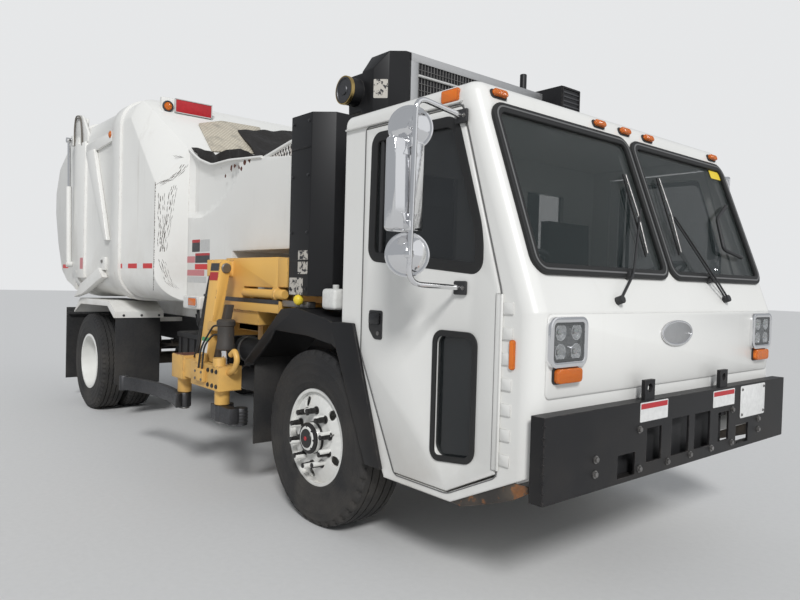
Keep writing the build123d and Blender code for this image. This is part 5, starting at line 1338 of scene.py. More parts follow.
crackSet = {
    "lines": {
        "slant": [(-0.42, 2.285), (-0.372, 2.325), (-0.328, 2.35), (-0.275, 2.418), (-0.244, 2.49)],
        "near": [(-0.31, 2.295), (-0.326, 2.226), (-0.338, 2.073), (-0.356, 1.919), (-0.368, 1.804),
                 (-0.378, 1.69)],
        "far": [(-0.394, 2.224), (-0.393, 2.128), (-0.394, 2.033), (-0.387, 1.918), (-0.395, 1.803),
                (-0.387, 1.69)],
        "low": [(-0.39, 1.64), (-0.372, 1.574), (-0.343, 1.44), (-0.281, 1.366)],
        "top": [(-0.318, 2.56), (-0.29, 2.54), (-0.262, 2.53)],
    },
    "strands": [(0.0, 0.0046), (0.02, 0.0028), (-0.017, 0.0034), (0.036, 0.0022)],  # how far aside, how wide
    "spacing": 0.011, "depth": 0.0012, "sunk": -0.0002, "chips": 70, "chipLow": 1.36, "chipStep": 0.0137,
    "chipDepth": 0.0014,
}
facetEdge, facetSlant = -0.43, 0.6905  # where the corner panel starts, and its slant
facetAt = frameAt((facetEdge, -1.22, 0), (facetSlant, 0.7234, 0), (0, 0, 1))


def crackStrand(line, shift, wide, v):  # one wavering crack, broken here and there
    path, pieces = [], []
    for (xa, za), (xb, zb) in zip(line, line[1:]):
        count = max(2, int(math.hypot(xb - xa, zb - za) / v["spacing"]))
        path += [((xa + (xb - xa) * i / count - facetEdge) / facetSlant, za + (zb - za) * i / count)
                 for i in range(count)]
    wave = [shift + 0.009 * noise.noise((a * 14 + shift * 90, z * 14, 0.0))
            + 0.004 * noise.noise((z * 60, shift * 300, 0.0)) for a, z in path]
    i = rng.randint(0, 2)
    while i < len(path) - 3:
        span = min(rng.randint(3, 8), len(path) - 1 - i)
        left, right = [], []
        for k in range(span + 1):
            (a, z), swell = path[i + k], math.sin(math.pi * (k + 0.15) / (span + 0.3))
            half = wide * swell * rng.uniform(0.4, 1.0)
            left.append((a + wave[i + k] - half, z + half * 0.4))
            right.append((a + wave[i + k] + half, z - half * 0.4))
        pieces.append(addPlate("paintCrack", left + right[::-1], v["depth"], facetAt, 0, 0, v["sunk"]))
        i += span + rng.choice((0, 0, 0, 1, 3))
    return pieces


def buildCracks(v):  # dark lines where the paint has split along the corner panel
    flakes = []
    for line in v["lines"].values():
        for shift, wide in v["strands"]:
            flakes += crackStrand(line, shift, wide, v)
    fit(joinUp(flakes, "paintCracks"), "crackDark", "load_body")
    chips = []
    for i in range(v["chips"]):
        z = v["chipLow"] + i * v["chipStep"] + rng.uniform(-0.004, 0.004)
        size = rng.uniform(0.003, 0.01)
        points = [(0.001, z), (size, z + 0.004), (size * 0.7, z + 0.012), (0.001, z + 0.015)]
        chips.append(addPlate("edgeChip", points, v["chipDepth"], facetAt, 0, 0, v["sunk"]))
    fit(joinUp(chips, "edgeChips"), "crackDark", "load_body")


buildTape(tapeSet)
buildLabels(labelSet)
buildCracks(crackSet)
print("tape, labels and chips fitted")

# Dented hopper side and waved side sheets

dentSet = {
    "depth": 0.042, "ramp": 0.045, "fade": 0.1, "start": -0.225, "startRamp": 0.05, "side": -0.965,
    "low": ((-0.22, 2.4), (-0.212, 2.01), (0.04, 1.985), (0.34, 2.075), (0.57, 2.19), (0.72, 2.31)),
    "lip": ((-0.22, 2.602), (0.01, 2.489), (0.25, 2.418), (0.57, 2.42), (0.82, 2.414)),
    "cuts": [(0, -0.22, 1.6, 0.055), (0, -0.205, 0.8, 0.067),  # axis, low, high and step
             (2, 1.29, 2.6, 0.055), (2, 1.96, 2.42, 0.034)],
    "wave": {"x": 1.05, "z": 1.9, "long": 0.55, "tall": 0.4, "depth": 0.008},
}


def alongLine(points, x):  # the line's height at x
    for (xa, za), (xb, zb) in zip(points, points[1:]):
        if xa <= x <= xb:
            return za + (zb - za) * (x - xa) / (xb - xa)
    return None


def share(value):
    return min(1, max(0, value))


def buildDents(v):
    hopper = dressedNodes["hopper_tub"]
    for axis, low, high, step in v["cuts"]:
        sliceUp(hopper, axis, low, high, step)
    side = [vertex for vertex in hopper.data.vertices if vertex.co.y < v["side"]]
    for vertex in side:
        low, lip = alongLine(v["low"], vertex.co.x), alongLine(v["lip"], vertex.co.x)
        if low is not None and lip is not None:
            rise = share((vertex.co.z - low) / v["ramp"]) * share((lip - vertex.co.z) / v["fade"])
            vertex.co.y += v["depth"] * rise * share((vertex.co.x - v["start"]) / v["startRamp"])
    wave = v["wave"]
    for vertex in side:
        x, y, z = vertex.co
        away = math.hypot((x - wave["x"]) / wave["long"], (z - wave["z"]) / wave["tall"])
        if y < v["side"] and away < 1:
            vertex.co.y += wave["depth"] * (1 - away ** 2) ** 1.5
    smooth(hopper, 25)


buildDents(dentSet)
print("dents pressed")

# Hood: blank sign, lamp, worn mesh patch and torn rubber flaps

hoodSet = {
    "edge": (-0.22, 2.602), "slope": (-0.8227, 0.5684), "signX": -0.9,
    "sign": ((-0.866, 3.078), (-0.5, 3.202)), "signRim": ((-0.872, 3.072), (-0.494, 3.208)),
    "lamp": [(0.0, 0.02), (0.024, 0.018), (0.038, 0.01), (0.04, 0.0), (0.0, 0.0)],
    "lampRim": [(0.054, 0.0), (0.054, 0.01), (0.042, 0.014), (0.039, 0.0)], "lampPlace": (-0.935, 3.12),
    "post": ((-0.95, -0.995, 3.05), (-0.901, -0.48, 3.206)),
    "mesh": [(-0.74, -0.7), (-0.89, -0.39), (-0.905, 0.06), (-0.33, -0.3), (-0.245, -0.78)],
    "flap": [(-0.714, -0.3), (-0.93, 0.46), (-0.25, 0.52), (-0.25, -0.33)],
    "flapCuts": 18, "flapDepth": 0.01, "flapRise": 0.026, "flapCrumple": 0.03,
}
hoodAt = frameAt((hoodSet["edge"][0], 0, hoodSet["edge"][1]), (0, 1, 0),
                 (hoodSet["slope"][0], 0, hoodSet["slope"][1]))


def onHood(x, y):  # local place on the hood from a point's x and y
    return (y, (x - hoodSet["edge"][0]) / hoodSet["slope"][0])


def crumple(obj, size, way, scale):
    for vertex in obj.data.vertices:
        vertex.co += Vector(way) * (noise.noise(vertex.co * scale) * size)
    smooth(obj, 60)


def buildHood(v):
    x, (lampY, lampZ) = v["signX"], v["lampPlace"]
    fit(addPlate("hoodSign", v["sign"], 0.02, frontAt(x), 0.006), "decalRed", "load_body")
    rim = addFrame("hoodSignRim", v["signRim"], 0.008, 0.026, frontAt(x - 0.001), 0.004)
    fit(rim, "decalGrey", "load_body")
    fitRows(addTurned, [
        ("hoodLamp", "amberLens", v["lamp"], (x, lampY, lampZ), (1, 0, 0), 32),
        ("hoodLampRim", "decalDark", v["lampRim"], (x - 0.001, lampY, lampZ), (1, 0, 0), 32),
    ], "load_body")
    fit(addBlock("hoodLampPost", *v["post"], 0.006), "bodyPaint", "load_body")
    mesh = addPlate("hoodMesh", [onHood(*p) for p in v["mesh"]], 0.006, hoodAt, 0.03, 0.001, 0.008)
    fit(mesh, "tanMesh", "load_body")
    flap = addOutline("hoodFlap", [(*onHood(*p), v["flapRise"]) for p in v["flap"]])
    chooseAll(flap)
    bpy.ops.mesh.subdivide(number_cuts=v["flapCuts"])
    leaveEdit()
    thicken(flap, v["flapDepth"], 0)
    flap.data.transform(hoodAt)
    crumple(flap, v["flapCrumple"], (0.57, 0, 0.82), 5.0)
    fit(flap, "tornRubber", "load_body")


lipSet = {
    "flap": [(-0.3, 2.64), (-0.125, 2.618), (0.1, 2.56), (0.257, 2.505), (0.42, 2.525), (0.711, 2.5),
             (0.9, 2.43), (1.09, 2.385), (1.09, 2.365), (0.9, 2.372), (0.603, 2.395), (0.24, 2.405),
             (-0.028, 2.5), (-0.21, 2.59)],
    "flapAt": rightAt(-0.962), "flapDepth": 0.008, "flapCrumple": 0.036,
    "edge": [(-0.215, -1.001, 2.606), (0.01, -1.004, 2.492), (0.25, -1.004, 2.42), (0.57, -1.004, 2.421),
             (1.095, -1.004, 2.382)],
    "edgeRadius": 0.011, "railRadius": 0.014,
    "rail": [(1.08, -0.985, 2.372), (1.469, -0.985, 2.44), (1.59, -0.985, 2.452)],
    "wires": {"count": 13, "x": 1.13, "step": 0.036, "low": 2.33, "rise": 0.17, "lean": 0.05,
              "radius": 0.0032},
    "rust": [(0.6, 2.355, 0.03), (0.66, 2.365, 0.022), (0.825, 2.375, 0.034), (0.77, 2.33, 0.026),
             (0.5, 2.305, 0.018), (0.9, 2.385, 0.03), (0.73, 2.345, 0.02)],
    "rustSides": 9, "rustDepth": 0.001,
}


def buildLipFlap(v):  # the torn seal that lies along the hopper's right lip
    sheet = addPlate("lipFlap", v["flap"], v["flapDepth"], v["flapAt"], 0, 0)
    chooseAll(sheet)
    bpy.ops.mesh.quads_convert_to_tris()
    bpy.ops.mesh.subdivide(number_cuts=3)
    leaveEdit()
    crumple(sheet, v["flapCrumple"], (0, 1, 0.3), 9.0)
    fit(sheet, "tornRubber", "load_body")
    fitRows(addTube, [
        ("lipEdge", "bodyPaint", bend(v["edge"], 0.05), v["edgeRadius"], 8),
        ("lipRail", "bodyPaint", v["rail"], v["railRadius"], 10),
    ], "load_body")
    wire, (startX, y, startZ) = v["wires"], v["rail"][0]
    wires = []
    for i in range(wire["count"]):
        x = wire["x"] + i * wire["step"]
        top = startZ + (x - startX) * wire["rise"]
        for lean in (-wire["lean"], wire["lean"]):
            wires.append(addRod("lipMeshWire", (x, y, wire["low"]), (x + lean, y, top), wire["radius"], 6))
    fit(joinUp(wires, "lipMesh"), "bodyPaint", "load_body")
    marks = []
    for x, z, size in v["rust"]:
        points = [(x + size * rng.uniform(0.5, 1.1) * cos * 0.8, z + size * rng.uniform(0.5, 1.1) * sin * 0.9)
                  for cos, sin in roundOf(0, 0, 1, 1, v["rustSides"])]
        marks.append(addPlate("lipRust", points, v["rustDepth"], rightAt(-0.9998), 0, 0))
    fit(joinUp(marks, "lipRust"), "rustFlake", "load_body")


buildHood(hoodSet)
buildLipFlap(lipSet)
print("hood fitted")

# Load body's right flank near the tailgate, mirrored to the left

flankSet = {
    "skin": rightAt(-1.2195),
    "bar": [(-2.42, 2.905), (-1.56, 2.93), (-1.56, 2.832), (-2.42, 2.79)],
    "brace": [(-2.4, 2.825), (-2.1, 2.825), (-1.62, 1.838), (-1.73, 1.838)],
    "step": [(-2.72, 1.225), (-2.48, 1.378), (-1.85, 1.56), (-1.7, 1.46), (-1.84, 1.43), (-2.39, 1.272)],
    "clamp": ((-1.88, -1.246, 1.535), (-1.72, -1.214, 1.67)), "clampBolt": (-1.8, 1.625),
    "lug": [(-2.925, 3.27), (-2.86, 3.314), (-2.66, 3.28), (-2.44, 3.06), (-2.44, 2.95),
            (-2.83, 2.95), (-2.925, 3.08)],
    "hoses": [(0.0, 3.3), (0.02, 3.275)],  # a shift and a top for each
    "hoseY": -1.246, "hoseRadius": 0.0065,
    "marker": [(0.0, 0.016), (0.02, 0.014), (0.034, 0.006), (0.036, 0.0), (0.0, 0.0)],
    "markerPlace": (-1.6, -1.2475, 2.905),
}


def buildFlank(v):
    fitRows(addPlate, [
        ("flankBar", "bodyPaint", v["bar"], 0.028, v["skin"], 0, 0.006),
        ("flankBrace", "bodyPaint", v["brace"], 0.045, v["skin"], 0, 0.01),
        ("flankStep", "bodyPaint", v["step"], 0.06, rightAt(-1.213), 0, 0.006),
    ], *loadSides)
    fit(addBlock("flankClamp", *v["clamp"], 0.006), "bodyPaint", *loadSides)
    fit(addBolts("flankClampBolts", [v["clampBolt"]], 0.014, rightAt(-1.2458)), "bareSteel", *loadSides)
    fit(addPlate("hingeLug", v["lug"], 0.026, rightAt(-1.205), 0.02, 0.004), "bodyPaint", *loadSides)
    y = v["hoseY"]
    for shift, top in v["hoses"]:
        path = [(-2.885 + shift, y, 2.96), (-2.91 + shift, y, 3.15), (-2.86 + shift, y, top),
                (-2.66, y, top - 0.03), (-2.6 - shift, y, 3.1), (-2.59 - shift, -1.242, 2.93)]
        fit(addTube("gateHose", bend(path, 0.09, 6), v["hoseRadius"], 10), "agedHose", *loadSides)
    fit(addTurned("flankMarker", v["marker"], v["markerPlace"], (0, -1, 0), 28), "amberLens", *loadSides)


cornerLampSet = {
    "box": ((-0.15, -1.062, 1.214), (0.19, -0.985, 1.326)),
    "rim": ((-0.022, 1.238), (0.15, 1.318)), "lens": ((-0.012, 1.246), (0.142, 1.31)),
    "cables": [(0.00, 0.0), (0.03, -0.02)], "cableRadius": 0.007,  # how far each hangs aside and down
}


def buildCornerLamp(v):
    fit(addBlock("cornerLampBox", *v["box"], 0.016, 3), "bodyPaint", "load_body")
    rim = addFrame("cornerLampRim", v["rim"], 0.01, 0.012, rightAt(-1.0615), 0.02, 0.003)
    fit(rim, "chrome", "load_body")
    lens = addPlate("cornerLampLens", v["lens"], 0.014, rightAt(-1.0605), 0.014, 0.004)
    fit(lens, "amberLens", "load_body")
    for dx, dz in v["cables"]:
        path = [(0.06 + dx, -1.02, 1.22), (0.1 + dx, -1.03, 1.12 + dz), (0.02 + dx, -0.99, 1.06 + dz),
                (-0.1, -0.96, 1.16)]
        fit(addTube("cornerLampCable", bend(path, 0.05), v["cableRadius"], 8), "hoseRubber", "load_body")


buildFlank(flankSet)
buildCornerLamp(cornerLampSet)
print("flank fitted")

# Tower: framed mesh front, worn patch, drum end, scoop and stack bolts

towerSet = {
    "front": frontAt(2.1798), "post": ((-0.524, 2.3), (-0.46, 2.996)),
    "rail": ((-0.524, 2.943), (0.84, 2.996)), "sidePost": ((0.79, 2.3), (0.85, 2.943)),
    "barX": 2.19, "barZ": 2.858, "span": (-0.46, 0.79), "wireRadius": 0.0016,
    "upright": {"count": 46, "x": 2.186, "start": -0.455, "step": 0.0277, "z": (2.4, 2.945)},
    "level": {"count": 12, "x": 2.189, "start": 2.41, "step": 0.0445, "y": (-0.46, 0.792)},
    "patch": ((0.006, 2.665), (0.097, 2.785)), "patchAt": frameAt((2.107, -0.775, 0), (1, 1, 0), (0, 0, 1)),
    "drum": [(0.0, 0.01), (0.03, 0.01), (0.034, 0.004), (0.07, 0.004), (0.074, 0.009), (0.084, 0.009),
             (0.084, -0.006), (0.0, -0.006)],
    "drumRim": [(0.086, 0.007), (0.0925, 0.007), (0.0925, -0.016), (0.086, -0.016)],
    "drumPlace": (1.93, -0.87, 2.73),
    "scoop": ((0.944, 2.854), (1.171, 3.061)), "slats": 5, "slatStep": 0.034,
    "stackBolts": [(x, z) for x in (1.862, 2.038) for z in (1.43, 1.78, 2.13, 2.46)],
    "stackFace": rightAt(-1.1996), "bandX": (1.842, 2.058), "bands": (1.6, 2.295), "bandHeight": 0.012,
}


def buildTower(v):
    (near, far), radius = v["span"], v["wireRadius"]
    fitRows(addPlate, [
        ("towerPost", "aluminium", v["post"], 0.01, v["front"], 0, 0.003),
        ("towerRail", "aluminium", v["rail"], 0.011, v["front"], 0, 0.003),
        ("towerSidePost", "aluminium", v["sidePost"], 0.01, v["front"], 0, 0.003),
    ], "chassis")
    x, z = v["barX"], v["barZ"]
    fit(addRod("towerBar", (x, near, z), (x, far, z), 0.009, 12), "decalGrey", "chassis")
    wires = []
    upright, level = v["upright"], v["level"]
    for i in range(upright["count"]):
        y = upright["start"] + i * upright["step"]
        wires.append(addRod("towerWire", *[(upright["x"], y, end) for end in upright["z"]], radius, 5))
    for i in range(level["count"]):
        z = level["start"] + i * level["step"]
        wires.append(addRod("towerWire", *[(level["x"], end, z) for end in level["y"]], radius, 5))
    fit(joinUp(wires, "towerMesh"), "bareSteel", "chassis")
    fit(addPlate("towerPatch", v["patch"], 0.0015, v["patchAt"], 0.006, 0), "wornLabel", "chassis")
    fitRows(addTurned, [
        ("drumEnd", "darkSteel", v["drum"], v["drumPlace"], (0, -1, 0), 40),
        ("drumRim", "brass", v["drumRim"], v["drumPlace"], (0, -1, 0), 40),
    ], "chassis")
    fit(addFrame("scoopRim", v["scoop"], 0.014, 0.008, frontAt(2.2985), 0.01), "blackPaint", "chassis")
    slats = []
    for z in [2.876 + i * v["slatStep"] for i in range(v["slats"])]:
        corners = ((0.955, z), (1.16, z + 0.012))
        slats.append(addPlate("scoopSlat", corners, 0.006, frontAt(2.299), 0, 0.002))
    fit(joinUp(slats, "scoopSlats"), "darkSteel", "chassis")
    fit(addBolts("stackBolts", v["stackBolts"], 0.008, v["stackFace"]), "darkSteel", "chassis")
    left, right = v["bandX"]
    bands = [addPlate("stackBand", ((left, z), (right, z + v["bandHeight"])), 0.003, v["stackFace"], 0, 0.001)
             for z in v["bands"]]
    fit(joinUp(bands, "stackBands"), "blackPaint", "chassis")


# Arm: blank labels, plate, worn rails, tilt cylinder, hoses and castings

armSet = {
    "postAt": frameAt((0, -1.3352, 1.595), (1, 0, 0), (0, 0.1199, 0.9928)),
    "labels": [("decalDark", ((1.005, -0.06), (1.135, -0.006))),
               ("decalRed", ((1.005, -0.128), (1.135, -0.07))),
               ("whitePlastic", ((1.018, -0.64), (1.122, -0.56))),
               ("decalGreen", ((1.018, -0.56), (1.122, -0.532)))],
    "sidePlate": ((1.63, -1.16, 1.435), (1.755, -1.14, 1.63)),
    "railWear": ((0.89, -1.194, 1.322), (1.698, -1.15, 1.3495)),
    "railStub": ((1.712, -1.172, 1.312), (2.02, -1.11, 1.352)),
    "motor": [(0.0, 0.0), (0.036, 0.0), (0.04, 0.006), (0.04, 0.02), (0.033, 0.024), (0.033, 0.1),
              (0.026, 0.11), (0.0, 0.11)],
    "motorPlace": (1.636, -1.168, 1.388),
    "pivotCaps": [(1.141, 1), (0.926, -1)], "pivotY": -1.29, "pivotZ": 1.555,
    "pivotCap": [(0.0, 0.014), (0.03, 0.014), (0.036, 0.008), (0.036, 0.0), (0.0, 0.0)],
    "postHoses": (0.0, 0.026), "postHoseRadius": 0.0075, "hoseClamps": (1.35, 1.12),
    "postTop": (-1.335, 1.595), "postLean": 0.1208,
}
headSet = {
    "tilt": [(0.0, 0.0), (0.052, 0.0), (0.06, 0.008), (0.06, 0.04), (0.055, 0.046), (0.055, 0.16),
             (0.062, 0.166), (0.062, 0.196), (0.05, 0.206), (0.0, 0.206)],
    "tiltPlace": (1.385, -1.4, 1.004), "rod": (0.9, 1.01), "rodRadius": 0.027,
    "link": [(-1.245, 1.3), (-1.3, 1.3), (-1.378, 0.915), (-1.322, 0.915)],
    "rust": [(0.72, -1.484), (0.8, -1.49), (0.903, -1.478), (0.898, -1.4), (0.905, -1.334),
             (0.82, -1.33), (0.724, -1.338), (0.73, -1.41)],
    "rustAt": frameAt((0, 0, 0.9248), (1, 0, 0), (0, 1, 0)),
    "hook": [(1.465, -1.42, 0.86), (1.555, -1.42, 0.89), (1.6, -1.42, 0.96), (1.56, -1.42, 1.02),
             (1.505, -1.42, 0.985)],
    "valve": ((1.165, -1.522, 0.785), (1.3, -1.493, 0.872)),
    "valveBolts": [(1.185, 0.803), (1.28, 0.803), (1.185, 0.852), (1.28, 0.852)],
    "bolts": [(x, z) for x in (1.33, 1.395, 1.455) for z in (0.775, 0.872)],
    "hoses": [(1.205, 1.165, 1.01), (1.26, 1.105, 1.03)],  # x, top and middle of each
    "hoseRadius": 0.0065,
    "fingerCap": [(0.0, 0.0), (0.034, 0.0), (0.038, -0.006), (0.038, -0.014), (0.02, -0.02), (0.0, -0.02)],
    "fingerCaps": (0.775, 1.39), "fingerPlace": (-1.42, 0.538),
    "ring": [(0.0465, -0.004), (0.049, -0.002), (0.049, 0.002), (0.0465, 0.004)],
    "rollers": (1.32, 1.52), "rollerY": -1.35, "rings": (0.545, 0.566, 0.587, 0.608),
}


def buildArm(v):
    fitRows(addPlate, [("postLabel", material, corners, 0.0014, v["postAt"], 0.004, 0)
                       for material, corners in v["labels"]], "lift_arm")
    fitRows(addBlock, [
        ("sidePlate", "yellowPaint", *v["sidePlate"], 0.004),
        ("railWear", "darkSteel", *v["railWear"], 0.003),
    ], "arm_carriage")
    fit(addBlock("railStub", *v["railStub"], 0.004), "bareSteel", "chassis")
    fit(addTurned("reachMotor", v["motor"], v["motorPlace"], (1, 0, 0), 28), "yellowPaint", "arm_carriage")


def buildPost(v):
    for shift in v["postHoses"]:
        path = [(0.994 - shift, -1.33, 1.5), (0.985 - shift, -1.365, 1.3),
                (0.985 - shift, -1.412, 0.98), (0.95 - shift, -1.415, 0.915)]
        fit(addTube("postHose", bend(path, 0.06, 5), v["postHoseRadius"], 10), "hoseRubber", "lift_arm")
    topY, topZ = v["postTop"]
    for z in v["hoseClamps"]:
        y = topY - (topZ - z) * v["postLean"]
        fit(addBlock("hoseClamp", (0.945, y - 0.001, z), (1.004, y + 0.03, z + 0.018), 0.003), "darkSteel",
            "lift_arm")
    caps = [addTurned("pivotCap", v["pivotCap"], (x, v["pivotY"], v["pivotZ"]), (way, 0, 0), 28)
            for x, way in v["pivotCaps"]]
    fit(joinUp(caps, "pivotCaps"), "bareSteel", "lift_arm")


def buildHead(v):
    x, y, z = v["tiltPlace"]
    low, high = v["rod"]
    fit(addTurned("tiltBarrel", v["tilt"], (x, y, z), (0, 0, 1), 32), "castMetal", "lift_arm")
    fit(addRod("tiltRod", (x, y, low), (x, y, high), v["rodRadius"], 24), "chrome", "lift_arm")
    fitRows(addPlate, [
        ("secondLink", "castMetal", v["link"], 0.05, frontAt(1.146), 0, 0.006),
        ("headRust", "rustFlake", v["rust"], 0.0014, v["rustAt"], 0, 0),
    ], "lift_arm")
    fit(addTube("headHook", bend(v["hook"], 0.05, 5), 0.019, 14), "yellowPaint", "lift_arm")
    fit(addBlock("valveBlock", *v["valve"], 0.005, 3), "yellowPaint", "lift_arm")
    fitRows(addBolts, [
        ("valveBolts", "bareSteel", v["valveBolts"], 0.007, rightAt(-1.5218)),
        ("headBolts", "darkSteel", v["bolts"], 0.011, rightAt(-1.4948)),
    ], "lift_arm")
    for x, top, middle in v["hoses"]:
        path = [(x, -1.508, 0.87), (x + 0.01, -1.5, middle), (1.31, -1.455, top), (1.345, -1.425, top)]
        fit(addTube("tiltHose", bend(path, 0.07, 5), v["hoseRadius"], 10), "hoseRubber", "lift_arm")


def buildFingers(v):
    fitRows(addTurned, [("fingerCap", "bareSteel", v["fingerCap"], (x, *v["fingerPlace"]), (0, 0, 1), 28)
                        for x in v["fingerCaps"]], "lift_arm")
    for x in v["rollers"]:
        rings = [addTurned("rollerRing", v["ring"], (x, v["rollerY"], z), (0, 0, 1), 28) for z in v["rings"]]
        fit(joinUp(rings, "rollerRings"), "tyre", "finger_front")


# Fenders and chassis: bolts, bottle, valve knob, straps and ribs

chassisSet = {
    "fenderBolts": (1.134, 0.954, 0.775), "fenderBoltZ": 1.08,
    "bottle": ((2.192, -1.188, 1.3165), (2.33, -1.072, 1.44)), "capPlace": (2.262, -1.13),
    "capZ": (1.436, 1.464),
    "knob": [(0.0, 0.034), (0.018, 0.029), (0.03, 0.014), (0.032, 0.0), (0.026, -0.02), (0.01, -0.032),
             (0.0, -0.033)],
    "knobPlace": (1.96, -1.2, 1.362), "stemZ": (1.3, 1.336),
    "straps": (-0.64, -0.095, 0.45), "strapHalf": 0.026,
    "strapParts": [(0.44, 1.052, 1.018, 1.026), (1.046, 1.056, 0.5, 1.026), (0.44, 1.056, 0.494, 0.502)],
    "tankCap": [(0.0, 0.03), (0.04, 0.028), (0.046, 0.02), (0.046, 0.004), (0.052, 0.0), (0.0, 0.0)],
    "tankCapPlace": (0.2, 0.9, 1.018),
    "boxRibs": (-0.57, -0.42, -0.27, -0.12, 0.03), "ribWidth": 0.03, "ribZ": (0.58, 0.925),
    "boxLid": ((-0.626, 0.932), (0.136, 0.972)), "boxFace": rightAt(-0.8998),
    "airTankBand": [(0.1105, -0.016), (0.115, -0.014), (0.115, 0.014), (0.1105, 0.016)],
    "bandPlaces": [(x, -0.64, z) for z in (0.64, 0.88) for x in (0.3, 0.84)],
    "clampX": (-2.47, -2.31), "clampY": (0.42, 0.532), "clampZ": (0.56, 0.79), "clampRadius": 0.011,
    "airLines": {"count": 4, "y": -0.3, "step": 0.024, "z": 0.99, "stagger": 0.022, "radius": 0.0085},
    "plate": ((-0.15, 0.527), (0.15, 0.633)), "plateAt": frameAt((-3.4152, 0, 0), (0, -1, 0), (0, 0, 1)),
}


def buildCabSide(v):
    for side in (-1, 1):
        places = [(side * y, v["fenderBoltZ"]) for y in v["fenderBolts"]]
        fit(addBolts("rearFenderBolts", places, 0.009, frontAt(-1.4452)), "darkSteel", "chassis")
    fit(addBlock("washBottle", *v["bottle"], 0.022, 4), "whitePlastic", "chassis")
    low, high = [(*v["capPlace"], z) for z in v["capZ"]]
    fit(addRod("washCap", low, high, 0.019, 20, 0.003), "decalGrey", "chassis")
    fit(addTurned("valveKnob", v["knob"], v["knobPlace"], (0, 0, 1), 24), "stickerYellow", "chassis")
    low, high = [(*v["knobPlace"][:2], z) for z in v["stemZ"]]
    fit(addRod("valveStem", low, high, 0.008, 10), "darkSteel", "chassis")


def buildTanks(v):
    straps, half = [], v["strapHalf"]
    for x in v["straps"]:
        for near, far, low, high in v["strapParts"]:
            straps.append(addBlock("tankStrap", (x - half, near, low), (x + half, far, high), 0.002))
    fit(joinUp(straps, "tankStraps"), "darkSteel", "chassis")
    fit(addTurned("tankCap", v["tankCap"], v["tankCapPlace"], (0, 0, 1), 32), "chrome", "chassis")
    low, high = v["ribZ"]
    ribs = [addPlate("boxRib", ((x, low), (x + v["ribWidth"], high)), 0.012, v["boxFace"], 0, 0.004)
            for x in v["boxRibs"]]
    ribs.append(addPlate("boxLid", v["boxLid"], 0.014, v["boxFace"], 0, 0.004))
    fit(joinUp(ribs, "boxRibs"), "blackPaint", "chassis")
    bands = [addTurned("airTankBand", v["airTankBand"], place, (1, 0, 0), 32) for place in v["bandPlaces"]]
    fit(joinUp(bands, "airTankBands"), "bareSteel", "chassis")


def buildUnderside(v):
    (near, far), (low, high) = v["clampY"], v["clampZ"]
    for side in (-1, 1):
        clamps = []
        for x in v["clampX"]:
            corners = ((near, low), (near, high), (far, high), (far, low))
            path = [(x, side * y, z) for y, z in corners]
            clamps.append(addTube("springClamp", bend(path, 0.03), v["clampRadius"], 8))
        fit(joinUp(clamps, "springClamps"), "castMetal", "chassis")
    line, lines = v["airLines"], []
    for i in range(line["count"]):
        y, z = line["y"] + i * line["step"], line["z"] + (i % 2) * line["stagger"]
        path = [(-3.0, y, z), (-1.2, y, z), (0.6, y, z + 0.01), (2.2, y, z)]
        lines.append(addTube("airLine", bend(path, 0.05), line["radius"], 8))
    fit(joinUp(lines, "airLines"), "hoseRubber", "chassis")
    fit(addPlate("rearPlate", v["plate"], 0.003, v["plateAt"], 0.008, 0), "patchBlank", "chassis")


# Tailgate: ribs, a cross bar and round lamps on its sloping back

gateSet = {
    "low": (-3.57, 0, 1.526), "middle": (-3.769, 0, 1.862), "high": (-3.896, 0, 2.499),
    "top": (-3.732, 0, 2.796),
    "ribs": (-0.72, -0.24, 0.24, 0.72), "ribHalf": 0.035, "ribSpan": (0.02, 0.37), "topSpan": (0.0, 0.29),
    "bar": ((-1.15, 0.0), (1.15, 0.05)), "topStart": 0.12,
    "lamps": [(1.02, "redLens"), (0.9, "amberLens")], "lampRise": 0.185,
    "lens": [(0.0, 0.02), (0.03, 0.018), (0.046, 0.008), (0.048, -0.002), (0.0, -0.002)],
    "rim": [(0.049, -0.002), (0.06, -0.002), (0.06, 0.008), (0.049, 0.01)],
}


def gateRibs(name, span, depth, at, bevel, v):
    low, high = span
    return [addPlate(name, ((y - v["ribHalf"], low), (y + v["ribHalf"], high)), depth, at, 0, bevel)
            for y in v["ribs"]]


def buildTailgate(v):
    low, middle, high, top = [Vector(v[key]) for key in ("low", "middle", "high", "top")]
    at = frameAt(low, (0, -1, 0), middle - low)
    ribs = gateRibs("gateRib", v["ribSpan"], 0.022, at, 0.006, v)
    ribs.append(addPlate("gateCrossBar", v["bar"], 0.026, at, 0, 0.006))
    fit(joinUp(ribs, "gateRibs"), "bodyPaint", "tailgate")
    way = at.to_3x3() @ Vector((0, 0, 1))
    for side in (-1, 1):
        for y, material in v["lamps"]:
            centre = at @ Vector((side * y, v["lampRise"], 0.0))
            fitRows(addTurned, [
                ("gateLamp", material, v["lens"], centre, way, 28),
                ("gateLampRim", "sealRubber", v["rim"], centre, way, 28),
            ], "tailgate")
    at = frameAt(high + (top - high) * v["topStart"], (0, -1, 0), top - high)
    ribs = gateRibs("gateTopRib", v["topSpan"], 0.005, at, 0.002, v)
    fit(joinUp(ribs, "gateTopRibs"), "bodyPaint", "tailgate")


buildTower(towerSet)
buildArm(armSet)
buildHead(headSet)
buildPost(armSet)
buildFingers(headSet)
buildCabSide(chassisSet)
buildTanks(chassisSet)
buildUnderside(chassisSet)
buildTailgate(gateSet)
print("tower, arm, chassis and tailgate fitted")

# Camera, light and floor

cameraSet = {"place": (5.5901, -3.4548, 1.4839), "yaw": 40.3446, "pitch": -1.417, "roll": 1.5877,
             "lens": 30.607, "sensor": 36.0}


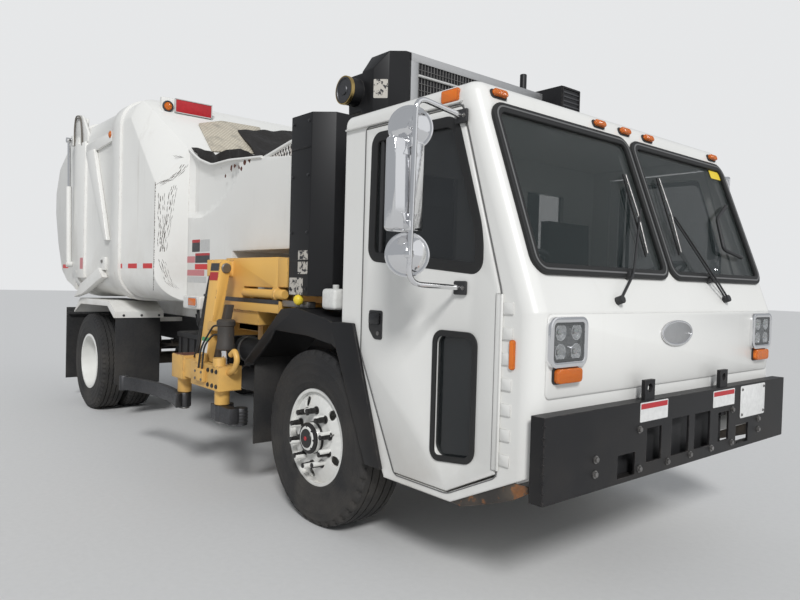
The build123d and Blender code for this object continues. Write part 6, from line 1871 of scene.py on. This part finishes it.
def buildCamera(v):
    yaw, pitch, roll = (math.radians(v[k]) for k in ("yaw", "pitch", "roll"))
    ahead = Vector((-math.cos(yaw) * math.cos(pitch), math.sin(yaw) * math.cos(pitch), math.sin(pitch)))
    right = ahead.cross((0, 0, 1)).normalized()
    up = right.cross(ahead)
    rightTurned = math.cos(roll) * right + math.sin(roll) * up
    upTurned = -math.sin(roll) * right + math.cos(roll) * up
    data = bpy.data.cameras.new("photoCamera")
    data.lens = v["lens"]
    data.sensor_width = v["sensor"]
    camera = bpy.data.objects.new("photoCamera", data)
    bpy.context.scene.collection.objects.link(camera)
    turn = Matrix((rightTurned, upTurned, -ahead)).transposed().to_4x4()
    camera.matrix_world = Matrix.Translation(v["place"]) @ turn
    bpy.context.scene.camera = camera


lightSet = {
    "key": {"from": (0.66, -0.48, 0.6), "angle": 12.0, "strength": 2.2},
    "fill": {"from": (0.75, 0.35, 0.4), "angle": 60.0, "strength": 0.3},
}


def buildLight(name, v):
    data = bpy.data.lights.new(name, "SUN")
    data.angle = math.radians(v["angle"])
    data.energy = v["strength"]
    lamp = bpy.data.objects.new(name, data)
    bpy.context.scene.collection.objects.link(lamp)
    lamp.location = Vector(v["from"]) * 12
    lamp.rotation_euler = (-Vector(v["from"])).to_track_quat("-Z", "Y").to_euler()


studioSet = {"light": (0.8, 0.83, 0.87), "lightStrength": 0.5, "backdrop": (0.86, 0.87, 0.88),
             "backdropStrength": 0.92, "floorSize": 120, "floor": ((0.62, 0.62, 0.615), (0.68, 0.68, 0.675))}


def buildWorld(v):
    world = bpy.data.worlds.new("softStudio")
    bpy.context.scene.world = world
    world.use_nodes = True
    tree = world.node_tree
    shader = tree.nodes["Background"]
    path = tree.nodes.new("ShaderNodeLightPath")
    seen = mathOf(tree, "MAXIMUM", path.outputs["Is Camera Ray"], path.outputs["Is Transmission Ray"])
    link(tree, mixOf(tree, seen, v["light"], v["backdrop"]), shader.inputs["Color"])
    strength = rangeOf(tree, seen, 0.0, 1.0, v["lightStrength"], v["backdropStrength"])
    link(tree, strength, shader.inputs["Strength"])


def buildFloor(v):
    bpy.ops.object.select_all(action="DESELECT")
    bpy.ops.mesh.primitive_plane_add(size=v["floorSize"])
    floor = bpy.context.active_object
    floor.name = "studioFloor"
    material, tree, shader = newMaterial("studioFloor")
    speckle = noiseOf(tree, objectPoint(tree), 26.0, 4)
    link(tree, mixOf(tree, speckle, *v["floor"]), shader.inputs["Base Color"])
    shader.inputs["Roughness"].default_value = 0.9
    floor.data.materials.append(material)


buildCamera(cameraSet)
for lightName, values in lightSet.items():
    buildLight(lightName, values)
buildWorld(studioSet)
buildFloor(studioSet)
bpy.context.scene.view_settings.view_transform = "Standard"
print("camera, lights and floor set")
